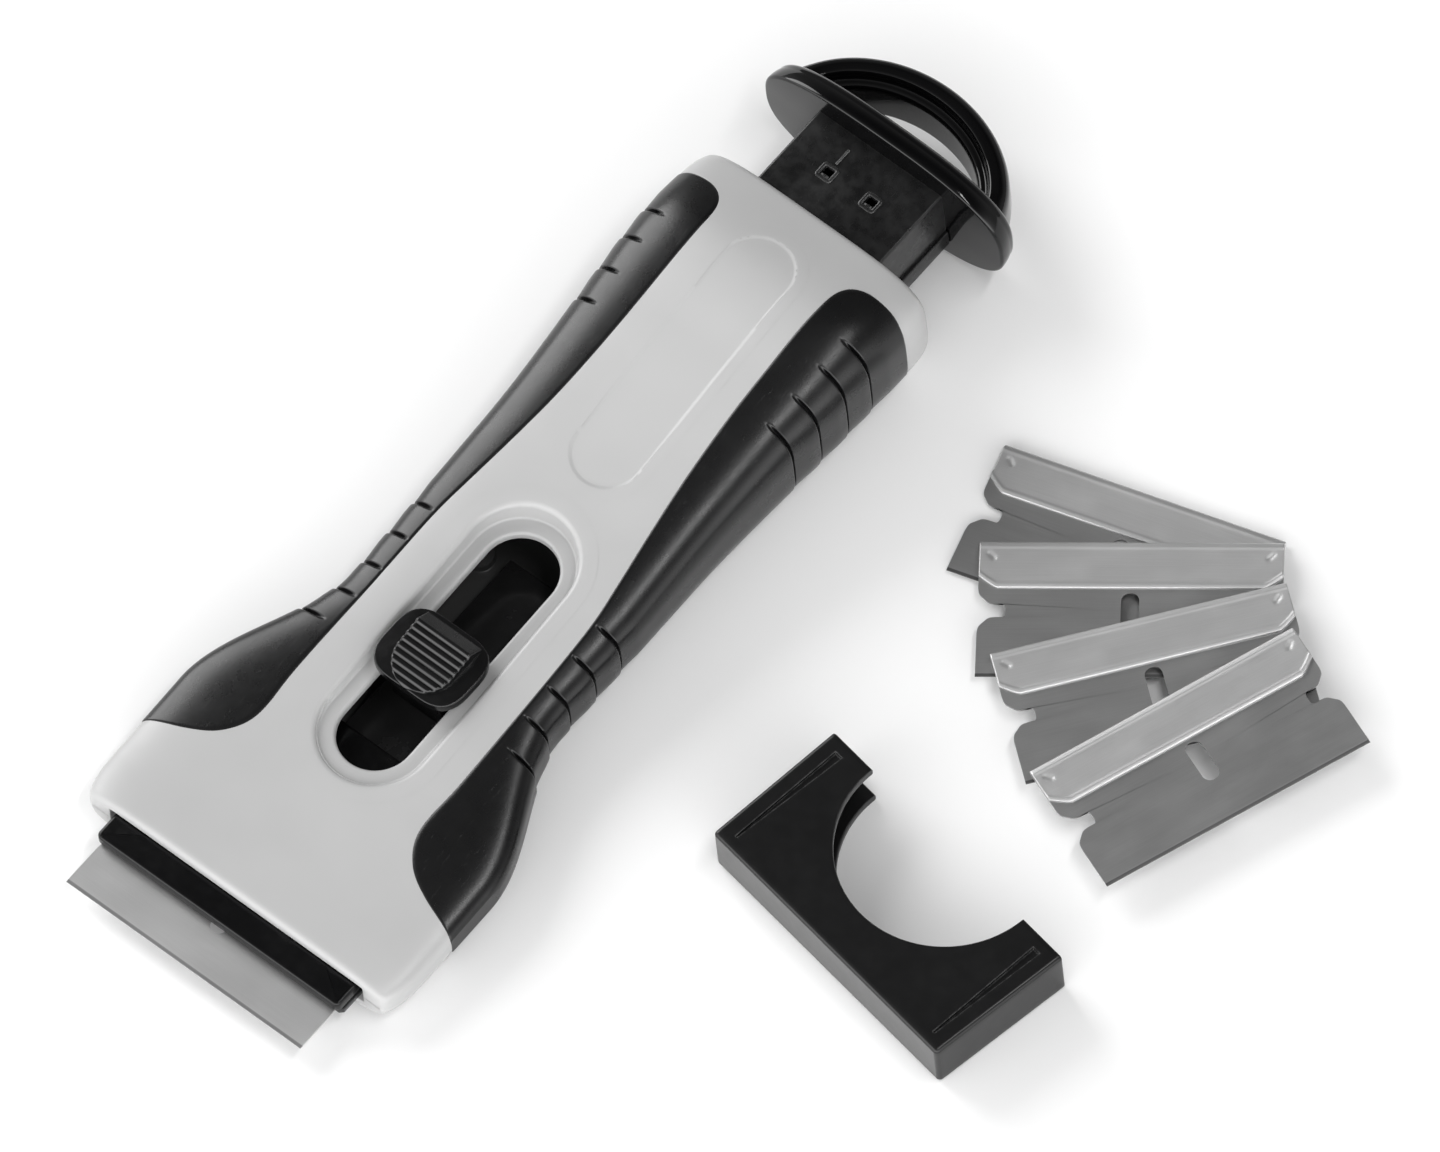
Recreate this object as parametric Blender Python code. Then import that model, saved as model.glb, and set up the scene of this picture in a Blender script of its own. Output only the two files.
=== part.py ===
"""A hand scraper for ceramic hobs, with its blade guard and four spare blades beside it.

The scraper lies along Y on its flat underside, blade towards -Y, with the origin at the middle of that
underside. Two housing shells hold a sliding blade carriage in front and a pull-out blade store behind, and
carry a soft grip on each flank. All lengths are in metres.
"""

import math

import bmesh
import bpy
from mathutils import Matrix, Vector

MM = 0.001

# Clearances
SEAT_GAP = 0.05 * MM
SKIN_GAP = 0.12 * MM
RUN_GAP = 0.3 * MM
OVERRUN = 3.0 * MM

# Housing, outer form
HOUSING_LENGTH = 114.2 * MM
CHEEK_WALL = 4.7 * MM
WAIST_HALF_WIDTH = 17.0 * MM
TAIL_HALF_WIDTH = 18.7 * MM
CHEEK_END_SHARE = 0.17
WAIST_START_SHARE = 0.385
WAIST_END_SHARE = 0.6
TAIL_START_SHARE = 0.925
FRONT_CORNER_LENGTH = 5.7 * MM
FRONT_CORNER_INSET = 1.8 * MM
REAR_CORNER_LENGTH = 4.0 * MM
REAR_CORNER_INSET = 1.6 * MM
NOSE_HEIGHT = 7.0 * MM
HUMP_RISE = 13.0 * MM
RISE_SHARES = ((0, 0), (0.1, 0.06), (0.25, 0.185), (0.47, 0.39), (0.64, 0.61), (0.8, 0.87), (0.9, 0.99), (1, 0.84))
LIP_ROUND = 0.9 * MM
TAIL_ROUND = 0.9 * MM
WIDEST_SHARES = ((0, 0.52), (0.17, 0.53), (0.35, 0.55), (0.55, 0.55), (0.75, 0.53), (1, 0.51))
UNDER_DEPTH_SHARE = 1.06
UPPER_POWER = 4.0
LOWER_POWER = 3.5
ROUND_STATIONS = 4
BODY_STATIONS = 23
TOP_SEGMENTS = 16
UNDER_SEGMENTS = 4

# Housing, inner form
PARTING_HEIGHT = 3.2 * MM
FLOOR = 1.6 * MM
MOUTH_MARGIN = 0.8 * MM
MOUTH_CEILING = 5.3 * MM
MOUTH_CORNER = 0.5 * MM
FLANK_WALL = 3.4 * MM
ROOF_WALL = 2.6 * MM
LEDGE_WALL = 1.3 * MM
REAR_WALL = 2.6 * MM
TAIL_CAVITY_CORNER = 4.0 * MM
CAVITY_STATIONS = 20

# Slot and the dish that it lies in
SLOT_HALF_WIDTH = 5.15 * MM
SLOT_FRONT = 22.6 * MM
SLOT_LENGTH = 38.1 * MM
DISH_MARGIN = 2.4 * MM
DISH_DRAFT = 0.3 * MM
LEDGE_FRONT_HEIGHT = 7.9 * MM
LEDGE_REAR_HEIGHT = 10.2 * MM

# Bare label panel
PANEL_FRONT = 68.7 * MM
PANEL_LENGTH = 39.0 * MM
PANEL_HALF_WIDTH = 4.9 * MM
PANEL_DEPTH = 0.35 * MM

# Grips
GRIP_SIDE = 1.8 * MM
GRIP_OVER = 0.95 * MM
GRIP_UNDER = 0.5 * MM
GRIP_EDGE_SHARES = (
    (0.0960, 1.050),
    (0.1060, 0.955),
    (0.1187, 0.780),
    (0.1331, 0.648),
    (0.1500, 0.568),
    (0.1700, 0.519),
    (0.1950, 0.504),
    (0.2400, 0.514),
    (0.3100, 0.513),
    (0.4100, 0.507),
    (0.4800, 0.497),
    (0.5300, 0.470),
    (0.6000, 0.427),
    (0.6700, 0.392),
    (0.7500, 0.371),
    (0.8200, 0.366),
    (0.8960, 0.366),
    (0.9380, 0.385),
    (0.9571, 0.476),
    (0.9597, 0.635),
    (0.9530, 0.760),
    (0.9470, 0.900),
)
GRIP_EDGE_STEPS = 2
WAIST_GROOVE_SHARES = (0.481, 0.438, 0.394, 0.352, 0.311)
TAIL_GROOVE_SHARES = (0.894, 0.855, 0.812, 0.770)
GROOVE_DEPTH = 0.75 * MM
GROOVE_RUN = 2.6 * MM
GROOVE_SHOULDER = 60.0
GROOVE_SEGMENTS = 7

# Housing screws and their bosses
SCREW_SETBACK = 11.4 * MM
SCREW_SPREAD = 9.0 * MM
SCREW_SHANK_RADIUS = 0.8 * MM
SCREW_HEAD_RADIUS = 1.8 * MM
SCREW_HEAD_HEIGHT = 0.9 * MM
SCREW_HEAD_DEPTH = 0.3 * MM
SCREW_LENGTH = 6.0 * MM
SCREW_DRIVE_WIDTH = 0.5 * MM
SCREW_DRIVE_LENGTH = 2.2 * MM
SCREW_DRIVE_DEPTH = 0.4 * MM
BOSS_RADIUS = 2.4 * MM
SCREW_CLEARANCE = 0.2 * MM

# Razor blades
BLADE_LENGTH = 38.1 * MM
BLADE_WIDTH = 19.05 * MM
BLADE_THICKNESS = 0.25 * MM
BLADE_GRIND = 1.0 * MM
BLADE_EDGE_THICKNESS = 0.05 * MM
SPINE_WIDTH = 6.6 * MM
SPINE_THICKNESS = 1.05 * MM
SPINE_CHAMFER = 1.7 * MM
SPINE_CHAMFER_RUN = 2.4 * MM
SPINE_BITE = 6.2 * MM
NOTCH_PLACE = 9.7 * MM
NOTCH_DEPTH = 2.7 * MM
NOTCH_MOUTH = 4.6 * MM
NOTCH_THROAT = 1.9 * MM
HOLE_START = 7.1 * MM
HOLE_END = 13.2 * MM
HOLE_RADIUS = 1.15 * MM

# Blade carriage, with lengths counted back from the cutting edge
BLADE_PLANE = 3.025 * MM
BLADE_REACH = 10.3 * MM
CARRIAGE_THICKNESS = 1.0 * MM
CARRIAGE_MARGIN = 0.65 * MM
CARRIAGE_CHAMFER = 0.5 * MM
CARRIAGE_FRONT = 7.2 * MM
CLAMP_FRONT = 6.6 * MM
CLAMP_THICKNESS = 1.8 * MM
CLAMP_EDGE = 0.35 * MM
WIDE_END = 19.6 * MM
TAPER_END = 38.0 * MM
TAPER_HALF_WIDTH = 11.0 * MM
TAPER_SHARES = ((0.24, 0.70), (0.57, 0.33))
SHANK_HALF_WIDTH = 6.0 * MM
SHANK_END = 57.0 * MM
TONGUE_HALF_WIDTH = 4.5 * MM
TONGUE_END = 69.0 * MM
POST_PLACE = 27.0 * MM
POST_SPREAD = 8.0 * MM
POST_RADIUS = 1.2 * MM

# Slider button
STEM_FRONT = 45.5 * MM
STEM_LENGTH = 7.0 * MM
STEM_HALF_WIDTH = 4.2 * MM
PEG_SIZE = 3.0 * MM
SKIRT_FRONT = 43.6 * MM
SKIRT_LENGTH = 10.8 * MM
SKIRT_HALF_WIDTH = 6.8 * MM
SKIRT_CORNER = 3.4 * MM
SKIRT_BOTTOM = 10.5 * MM
SKIRT_THICKNESS = 1.4 * MM
SKIRT_EDGE = 0.5 * MM
PAD_FRONT = 43.6 * MM
PAD_LENGTH = 10.0 * MM
PAD_HALF_WIDTH = 4.4 * MM
PAD_FRONT_HEIGHT = 12.3 * MM
PAD_REAR_HEIGHT = 13.7 * MM
PAD_TAIL_LENGTH = 1.6 * MM
PAD_TAIL_DROP = 1.4 * MM
RIB_COUNT = 9
RIB_DEPTH = 0.45 * MM
RIB_RISE_SHARE = 0.3
RIB_CREST_SHARE = 0.6

# Blade store and end cap
STORE_OPENING = 12.3 * MM
STORE_CLOSED_GAP = 0.2 * MM
TRAY_HALF_WIDTH = 10.5 * MM
TRAY_BOTTOM = 4.1 * MM
TRAY_TOP = 7.1 * MM
TRAY_LENGTH = 45.0 * MM
TRAY_WALL = 0.8 * MM
LID_HALF_WIDTH = 10.05 * MM
LID_TOP = 15.7 * MM
LID_LENGTH = 21.0 * MM
LID_WALL = 0.9 * MM
WINDOW_SIZE = 2.1 * MM
WINDOW_SPREAD = 3.5 * MM
WINDOW_PLACE = 6.2 * MM
LUG_SPREAD = 5.5 * MM
LUG_WIDTH = 1.4 * MM
LUG_LENGTH = 1.2 * MM
LUG_DROP = 1.4 * MM
RAIL_SPREAD = 7.1 * MM
RAIL_WIDTH = 1.2 * MM
RAIL_FRONT = 69.0 * MM
GUIDE_WIDTH = 1.2 * MM
GUIDE_HEIGHT = 6.6 * MM
CAP_HALF_WIDTH = 19.3 * MM
CAP_BOTTOM = 0.2 * MM
CAP_TOP = 20.1 * MM
CAP_THICKNESS = 3.3 * MM
CAP_TAPER = 1.2 * MM
CAP_ROUND = 0.5 * MM
CAP_POWER = 2.7
CAP_SEGMENTS = 40
LOOP_CENTRE = -0.9 * MM
LOOP_HALF_WIDTH = 17.9 * MM
LOOP_REACH = 14.5 * MM
LOOP_WIDTH = 4.1 * MM
LOOP_BOTTOM = 5.6 * MM
LOOP_HEIGHT = 8.5 * MM
LOOP_STEP = 1.4 * MM
LOOP_ROOT_SHARE = 0.06
LOOP_SEGMENTS = 24

# Blade guard
GUARD_MARGIN = 2.1 * MM
GUARD_FLARE = 0.5 * MM
GUARD_WIDTH = 20.4 * MM
GUARD_HEIGHT = 7.9 * MM
GUARD_WALL = 1.2 * MM
GUARD_CUT_RADIUS = 14.3 * MM
GUARD_CENTRE = (64.4 * MM, -7.6 * MM)
GUARD_TURN = -9.27
GUARD_GROOVE_DEPTH = 0.35 * MM
GUARD_GROOVE_INSET = 2.3 * MM
GUARD_GROOVE_END_INSET = 1.7 * MM
GUARD_GROOVE_WIDTH = 1.3 * MM

# Spare blades: the place of each one's back left corner, its turn and its layer in the fan
SPARE_PLACES = (
    (32.9 * MM, 53.1 * MM, 16.7),
    (39.6 * MM, 40.1 * MM, 37.6),
    (51.1 * MM, 28.2 * MM, 53.3),
    (66.0 * MM, 18.0 * MM, 70.2),
)

CARRIAGE_HALF_WIDTH = BLADE_LENGTH / 2 + CARRIAGE_MARGIN
MOUTH_HALF_WIDTH = CARRIAGE_HALF_WIDTH + MOUTH_MARGIN
CHEEK_HALF_WIDTH = MOUTH_HALF_WIDTH + CHEEK_WALL
GUARD_LENGTH = BLADE_LENGTH + 2 * GUARD_MARGIN
FRONT = -HOUSING_LENGTH / 2
REAR = HOUSING_LENGTH / 2
EDGE_PLACE = FRONT - BLADE_REACH
CAP_FRONT = REAR + STORE_OPENING + STORE_CLOSED_GAP
SLOT_MIDDLE = FRONT + SLOT_FRONT + SLOT_LENGTH / 2
DISH_HALF_WIDTH = SLOT_HALF_WIDTH + DISH_MARGIN
DISH_HALF_LENGTH = SLOT_LENGTH / 2 + DISH_MARGIN
GREY = (0.60, 0.60, 0.60, 1)
BLACK = (0.018, 0.018, 0.019, 1)
RUBBER = (0.030, 0.031, 0.032, 1)
STEEL = (0.30, 0.30, 0.30, 1)
BRIGHT_STEEL = (0.50, 0.50, 0.50, 1)


def clear_scene():
    for found in list(bpy.data.objects):
        bpy.data.objects.remove(found, do_unlink=True)


def material(name, colour, roughness, metallic):
    """A Principled material, made once for each name."""
    made = bpy.data.materials.get(name)
    if made is None:
        made = bpy.data.materials.new(name)
        made.use_nodes = True
        shader = made.node_tree.nodes["Principled BSDF"]
        shader.inputs["Base Color"].default_value = colour
        shader.inputs["Roughness"].default_value = roughness
        shader.inputs["Metallic"].default_value = metallic
    return made


def place(name, shape, look=None, parent=None, smooth_below=None):
    """An object from a bmesh. With no material it is a cutter, and is not rendered."""
    bmesh.ops.recalc_face_normals(shape, faces=shape.faces)
    mesh = bpy.data.meshes.new(name)
    shape.to_mesh(mesh)
    shape.free()
    made = bpy.data.objects.new(name, mesh)
    bpy.context.scene.collection.objects.link(made)
    if look is None:
        made.hide_render = True
        made.display_type = "WIRE"
    else:
        mesh.materials.append(look)
    if smooth_below is not None:
        mesh.shade_smooth()
        mesh.set_sharp_from_angle(angle=math.radians(smooth_below))
    made.parent = parent
    return made


def combine(target, tool, operation):
    """Adds an exact Boolean with a tool object, which stays live."""
    step = target.modifiers.new(tool.name, "BOOLEAN")
    step.object = tool
    step.operation = operation
    step.solver = "EXACT"


def cut(target, *tools):
    for tool in tools:
        combine(target, tool, "DIFFERENCE")


def add(target, *tools):
    for tool in tools:
        combine(target, tool, "UNION")


def empty(name, location):
    made = bpy.data.objects.new(name, None)
    made.location = location
    bpy.context.scene.collection.objects.link(made)
    return made


def loft(rings, folded=False):
    """A closed skin through rings of equally many points, capped at both ends.

    A folded skin is made of triangles, so that two forms of one family bend along the same lines.
    """
    shape = bmesh.new()
    rows = [[shape.verts.new(point) for point in ring] for ring in rings]
    count = len(rings[0])
    for row, following in zip(rows, rows[1:]):
        for i in range(count):
            j = (i + 1) % count
            if folded:
                shape.faces.new((row[i], row[j], following[j]))
                shape.faces.new((row[i], following[j], following[i]))
            else:
                shape.faces.new((row[i], row[j], following[j], following[i]))
    shape.faces.new(rows[0])
    shape.faces.new(rows[-1])
    return shape


def prism(outline, low, high):
    """A flat outline in X and Y, raised from one height to another."""
    return loft([[Vector((x, y, z)) for x, y in outline] for z in (low, high)])


def side_prism(outline, left, right):
    """An outline in Y and Z, run along X."""
    return loft([[Vector((x, y, z)) for y, z in outline] for x in (left, right)])


def box(low, high):
    corners = ((low[0], low[1]), (high[0], low[1]), (high[0], high[1]), (low[0], high[1]))
    return prism(corners, low[2], high[2])


def mirrored(outline):
    return [(-x, y) for x, y in reversed(outline)]


def circle(radius, centre=(0, 0), segments=16):
    """Points of a circle, which start half a step round so that its facets face the axes."""
    turns = [2 * math.pi * (i + 0.5) / segments for i in range(segments)]
    return [(centre[0] + radius * math.cos(turn), centre[1] + radius * math.sin(turn)) for turn in turns]


def obround(half_width, half_length, middle, segments=14):
    """A slot outline along Y with half-round ends."""
    straight = half_length - half_width
    points = []
    for end, start in ((1, 0), (-1, math.pi)):
        for i in range(segments + 1):
            turn = start + math.pi * i / segments
            points.append((half_width * math.cos(turn), middle + end * straight + half_width * math.sin(turn)))
    return points


def smooth(share):
    share = min(max(share, 0), 1)
    return share * share * (3 - 2 * share)


def rounding(distance, length, inset):
    """How far a quarter ellipse of this length and depth lies inside its corner."""
    if distance >= length:
        return 0
    left = 1 - max(distance, 0) / length
    return inset * (1 - math.sqrt(1 - left * left))


def curve_through(table, share):
    """A smooth curve through a table of shares, with no overshoot between two points."""
    steps = [(b[1] - a[1]) / (b[0] - a[0]) for a, b in zip(table, table[1:])]
    slopes = [steps[0]]
    for before, after in zip(steps, steps[1:]):
        slopes.append(2 * before * after / (before + after) if before * after > 0 else 0)
    slopes.append(steps[-1])
    share = min(max(share, table[0][0]), table[-1][0])
    k = max(i for i in range(len(table) - 1) if table[i][0] <= share)
    span = table[k + 1][0] - table[k][0]
    t = (share - table[k][0]) / span
    rise = table[k + 1][1] - table[k][1]
    start = span * slopes[k]
    end = span * slopes[k + 1]
    return table[k][1] + t * (start + t * ((3 * rise - 2 * start - end) + t * (start + end - 2 * rise)))


def spline(points, steps):
    """A smooth open line through its points."""
    ends = [points[0], *points, points[-1]]
    line = []
    for a, b, c, d in zip(ends, ends[1:], ends[2:], ends[3:]):
        for i in range(steps):
            t = i / steps
            line.append(
                tuple(
                    0.5 * (2 * q + t * (r - p + t * (2 * p - 5 * q + 4 * r - s + t * (3 * q - p - 3 * r + s))))
                    for p, q, r, s in zip(a, b, c, d)
                )
            )
    return [*line, points[-1]]


def half_width(y):
    """Half the housing's width: full at the cheeks, drawn in at the waist and wider again at the tail."""
    share = (y - FRONT) / HOUSING_LENGTH
    narrowing = smooth((share - CHEEK_END_SHARE) / (WAIST_START_SHARE - CHEEK_END_SHARE))
    widening = smooth((share - WAIST_END_SHARE) / (TAIL_START_SHARE - WAIST_END_SHARE))
    width = CHEEK_HALF_WIDTH - (CHEEK_HALF_WIDTH - WAIST_HALF_WIDTH) * narrowing
    width += (TAIL_HALF_WIDTH - WAIST_HALF_WIDTH) * widening
    width -= rounding(y - FRONT, FRONT_CORNER_LENGTH, FRONT_CORNER_INSET)
    return width - rounding(REAR - y, REAR_CORNER_LENGTH, REAR_CORNER_INSET)


def crown(y):
    """The height of the housing's top along its middle."""
    height = NOSE_HEIGHT + HUMP_RISE * curve_through(RISE_SHARES, (y - FRONT) / HOUSING_LENGTH)
    height -= rounding(y - FRONT, LIP_ROUND, LIP_ROUND)
    return height - rounding(REAR - y, TAIL_ROUND, TAIL_ROUND)


def widest(y):
    """The share of the housing's height at which it is widest."""
    return curve_through(WIDEST_SHARES, (y - FRONT) / HOUSING_LENGTH)


def section(y, side=0, over=0, under=0):
    """One ring of the outer form, drawn in by a depth at its sides, its top and its flat underside."""
    half = half_width(y) - side
    top = crown(y) - over
    middle = under + widest(y) * (top - under)
    points = []
    for i in range(TOP_SEGMENTS + 1):
        turn = math.pi * i / TOP_SEGMENTS
        c = math.cos(turn)
        s = math.sin(turn)
        reach = (abs(c) ** UPPER_POWER + abs(s) ** UPPER_POWER) ** (-1 / UPPER_POWER)
        points.append(Vector((half * c * reach, y, middle + (top - middle) * s * reach)))
    depth = (middle - under) * UNDER_DEPTH_SHARE
    flat_depth = 1 / UNDER_DEPTH_SHARE
    flat_width = (1 - flat_depth**LOWER_POWER) ** (1 / LOWER_POWER)
    last_turn = math.atan2(flat_depth, flat_width)
    lower = []
    for i in range(1, UNDER_SEGMENTS + 1):
        turn = last_turn * i / UNDER_SEGMENTS
        c = math.cos(turn)
        s = math.sin(turn)
        reach = (c**LOWER_POWER + s**LOWER_POWER) ** (-1 / LOWER_POWER)
        lower.append(Vector((half * c * reach, y, max(middle - depth * s * reach, under))))
    points += [Vector((-point.x, point.y, point.z)) for point in lower]
    return points + lower[::-1]


def stations():
    """Places along the housing, close together where its ends turn in."""
    front = [FRONT + FRONT_CORNER_LENGTH * (1 - math.cos(math.pi / 2 * i / ROUND_STATIONS)) for i in range(ROUND_STATIONS)]
    rear = [REAR - REAR_CORNER_LENGTH * (1 - math.cos(math.pi / 2 * i / ROUND_STATIONS)) for i in range(ROUND_STATIONS)]
    start = FRONT + FRONT_CORNER_LENGTH
    run = HOUSING_LENGTH - FRONT_CORNER_LENGTH - REAR_CORNER_LENGTH
    return front + [start + run * i / BODY_STATIONS for i in range(BODY_STATIONS + 1)] + rear[::-1]


def outer_form(side=0, over=0, under=0):
    return loft([section(y, side, over, under) for y in stations()], folded=True)


def core_form(gap=0):
    """The housing's form under the grips. The grips' own cutter is larger by their gap."""
    return outer_form(GRIP_SIDE - gap, GRIP_OVER - gap, GRIP_UNDER - gap)


def ledge(y):
    """Height of the sloping floor of the dish round the slot."""
    share = (y - SLOT_MIDDLE + DISH_HALF_LENGTH) / (2 * DISH_HALF_LENGTH)
    return LEDGE_FRONT_HEIGHT + (LEDGE_REAR_HEIGHT - LEDGE_FRONT_HEIGHT) * share


def cavity_form():
    """The hollow that the carriage and the blade store run in, as bevelled rectangles."""
    start = FRONT - OVERRUN
    end = REAR - REAR_WALL
    dish_end = SLOT_MIDDLE + DISH_HALF_LENGTH
    rings = []
    for i in range(CAVITY_STATIONS + 1):
        y = start + (end - start) * i / CAVITY_STATIONS
        half = min(MOUTH_HALF_WIDTH, half_width(max(y, FRONT + FRONT_CORNER_LENGTH)) - FLANK_WALL)
        top = crown(y) - ROOF_WALL
        if y < dish_end + LEDGE_WALL:
            top = min(top, ledge(y) - LEDGE_WALL)
        top = max(top, MOUTH_CEILING)
        share = min(max((top - MOUTH_CEILING) / HUMP_RISE, 0), 1)
        corner = MOUTH_CORNER + (TAIL_CAVITY_CORNER - MOUTH_CORNER) * share
        outline = (
            (half - corner, FLOOR),
            (half, FLOOR + corner),
            (half, top - corner),
            (half - corner, top),
        )
        ring = [Vector((x, y, z)) for x, z in outline]
        rings.append(ring + [Vector((-point.x, y, point.z)) for point in reversed(ring)])
    return loft(rings)


def grip_outline(inset):
    """The plan of the right grip, drawn in from the housing's edge round it, and closed far outside."""
    edge = [(half * CHEEK_HALF_WIDTH, FRONT + share * HOUSING_LENGTH) for share, half in GRIP_EDGE_SHARES]
    line = spline(edge, GRIP_EDGE_STEPS)
    moved = []
    for i, point in enumerate(line):
        before = Vector(line[max(i - 1, 0)])
        after = Vector(line[min(i + 1, len(line) - 1)])
        along = (after - before).normalized()
        moved.append((point[0] + along.y * inset, point[1] - along.x * inset))
    outside = CHEEK_HALF_WIDTH + OVERRUN
    return [*moved, (outside, moved[-1][1]), (outside, moved[0][1])]


def groove_form(share):
    """A saw-tooth groove round the right flank: deep in front, running out to the rear."""
    y = FRONT + share * HOUSING_LENGTH
    rings = []
    for place_y, depth in ((y, GROOVE_DEPTH), (y + GROOVE_RUN, -GROOVE_DEPTH / TOP_SEGMENTS)):
        half = half_width(place_y)
        top = crown(place_y)
        middle = widest(place_y) * top
        inner = []
        outer = []
        for i in range(GROOVE_SEGMENTS + 1):
            turn = math.radians(GROOVE_SHOULDER) * (1 - i / GROOVE_SEGMENTS * 2)
            c = math.cos(turn)
            s = math.sin(turn)
            power = UPPER_POWER if s > 0 else LOWER_POWER
            reach = (abs(c) ** power + abs(s) ** power) ** (-1 / power)
            rise = top - middle if s > 0 else middle * UNDER_DEPTH_SHARE
            fade = smooth(GROOVE_SEGMENTS / 2 * (1 - abs(turn) / math.radians(GROOVE_SHOULDER)))
            sink = depth * fade if depth > 0 else depth
            x = half * c * reach
            z = middle + rise * s * reach
            away = Vector((c, s))
            inner.append(Vector((x - away.x * sink, place_y, z - away.y * sink)))
            outer.append(Vector((x + away.x * OVERRUN, place_y, z + away.y * OVERRUN)))
        rings.append(inner + outer[::-1])
    return loft(rings)


def dish_form():
    """The dish round the slot: a sloping floor with drafted walls."""
    low = obround(DISH_HALF_WIDTH - DISH_DRAFT, DISH_HALF_LENGTH - DISH_DRAFT, SLOT_MIDDLE)
    high = obround(DISH_HALF_WIDTH + DISH_DRAFT, DISH_HALF_LENGTH + DISH_DRAFT, SLOT_MIDDLE)
    rise = LEDGE_REAR_HEIGHT
    return loft(
        [
            [Vector((x, y, ledge(y))) for x, y in low],
            [Vector((x, y, ledge(y) + rise)) for x, y in high],
        ]
    )


def panel_cutter():
    """The label panel's recess, whose floor follows the housing's top."""
    middle = FRONT + PANEL_FRONT + PANEL_LENGTH / 2
    outline = obround(PANEL_HALF_WIDTH, PANEL_LENGTH / 2, middle)
    cutter = place("panel_cutter", prism(outline, NOSE_HEIGHT, NOSE_HEIGHT + HUMP_RISE + OVERRUN))
    floor = place("panel_floor", outer_form(PANEL_DEPTH, PANEL_DEPTH, PANEL_DEPTH))
    cut(cutter, floor)
    return cutter


def store_openings():
    """The way through the rear of the housing for the tray and, above it, for the lid."""
    closed_front = REAR + STORE_CLOSED_GAP
    tray_half = TRAY_HALF_WIDTH + RUN_GAP
    lid_half = LID_HALF_WIDTH + RUN_GAP
    tray = box(
        (-tray_half, closed_front - TRAY_LENGTH - RUN_GAP, TRAY_BOTTOM - RUN_GAP),
        (tray_half, REAR + OVERRUN, TRAY_TOP + RUN_GAP),
    )
    lid = box(
        (-lid_half, closed_front - LID_LENGTH - RUN_GAP, TRAY_TOP),
        (lid_half, REAR + OVERRUN, LID_TOP + RUN_GAP),
    )
    return place("tray_opening", tray), place("lid_opening", lid)


def screw_places():
    tray_front = REAR + STORE_CLOSED_GAP - TRAY_LENGTH - RUN_GAP
    return [(side * SCREW_SPREAD, tray_front - SCREW_SETBACK) for side in (-1, 1)]


def cylinder(radius, centre, low, high, segments=16):
    return prism(circle(radius, centre, segments), low, high)


def half_space(name, low, high):
    reach = CHEEK_HALF_WIDTH + OVERRUN
    return place(name, box((-reach, FRONT - OVERRUN, low), (reach, REAR + OVERRUN, high)))


def build_housing():
    """Both shells, cut from one outer form by one cavity, and the grips in their recesses."""
    grey = material("grey_plastic", GREY, 0.42, 0)
    core = place("core_cutter", core_form())
    recesses = []
    for side, outline in (("right", grip_outline(0)), ("left", mirrored(grip_outline(0)))):
        recess = place(side + "_recess", prism(outline, -OVERRUN, NOSE_HEIGHT + HUMP_RISE + OVERRUN))
        cut(recess, core)
        recesses.append(recess)
    cavity = place("cavity", cavity_form())
    slot = place("slot", prism(obround(SLOT_HALF_WIDTH, SLOT_LENGTH / 2, SLOT_MIDDLE), PARTING_HEIGHT, HUMP_RISE))
    dish = place("dish", dish_form())
    above = half_space("above_parting", PARTING_HEIGHT, NOSE_HEIGHT + HUMP_RISE + OVERRUN)
    below = half_space("below_parting", -OVERRUN, PARTING_HEIGHT + SEAT_GAP)
    openings = store_openings()

    upper = place("upper_housing", outer_form(), grey, smooth_below=35)
    cut(upper, *recesses, below, cavity)
    for i, centre in enumerate(screw_places()):
        roof = crown(centre[1]) - ROOF_WALL / 2
        add(upper, place(f"upper_boss_{i + 1}", cylinder(BOSS_RADIUS, centre, PARTING_HEIGHT + SEAT_GAP, roof)))
    cut(upper, dish, slot, panel_cutter(), *openings)

    lower = place("lower_housing", outer_form(), grey, smooth_below=35)
    cut(lower, *recesses, above, cavity)
    for i, centre in enumerate(screw_places()):
        add(lower, place(f"lower_boss_{i + 1}", cylinder(BOSS_RADIUS, centre, FLOOR / 2, PARTING_HEIGHT)))
    for i, centre in enumerate(screw_places()):
        hole_top = SCREW_HEAD_DEPTH + SCREW_LENGTH + RUN_GAP
        hole = place(
            f"screw_hole_{i + 1}",
            cylinder(SCREW_SHANK_RADIUS + SCREW_CLEARANCE, centre, -OVERRUN, hole_top),
        )
        sink_top = SCREW_HEAD_DEPTH + SCREW_HEAD_HEIGHT + SEAT_GAP
        sink = place(
            f"screw_sink_{i + 1}",
            cylinder(SCREW_HEAD_RADIUS + SCREW_CLEARANCE, centre, -OVERRUN, sink_top),
        )
        cut(upper, hole)
        cut(lower, hole, sink)
    add_store_guides(lower)
    cut(lower, openings[0])
    return upper, lower


def add_store_guides(lower):
    """Rails under the tray and guides beside it, standing on the lower shell's floor."""
    start = FRONT + RAIL_FRONT
    end = REAR - REAR_WALL - RUN_GAP
    tray_side = TRAY_HALF_WIDTH + RUN_GAP
    for side in (-1, 1):
        rail = sorted((side * (RAIL_SPREAD - RAIL_WIDTH / 2), side * (RAIL_SPREAD + RAIL_WIDTH / 2)))
        guide = sorted((side * tray_side, side * (tray_side + GUIDE_WIDTH)))
        name = "right" if side > 0 else "left"
        rail_form = box((rail[0], start, FLOOR - RUN_GAP), (rail[1], end, TRAY_BOTTOM - RUN_GAP))
        guide_form = box((guide[0], start, FLOOR - RUN_GAP), (guide[1], end, GUIDE_HEIGHT))
        add(lower, place(name + "_rail", rail_form), place(name + "_guide", guide_form))


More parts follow.
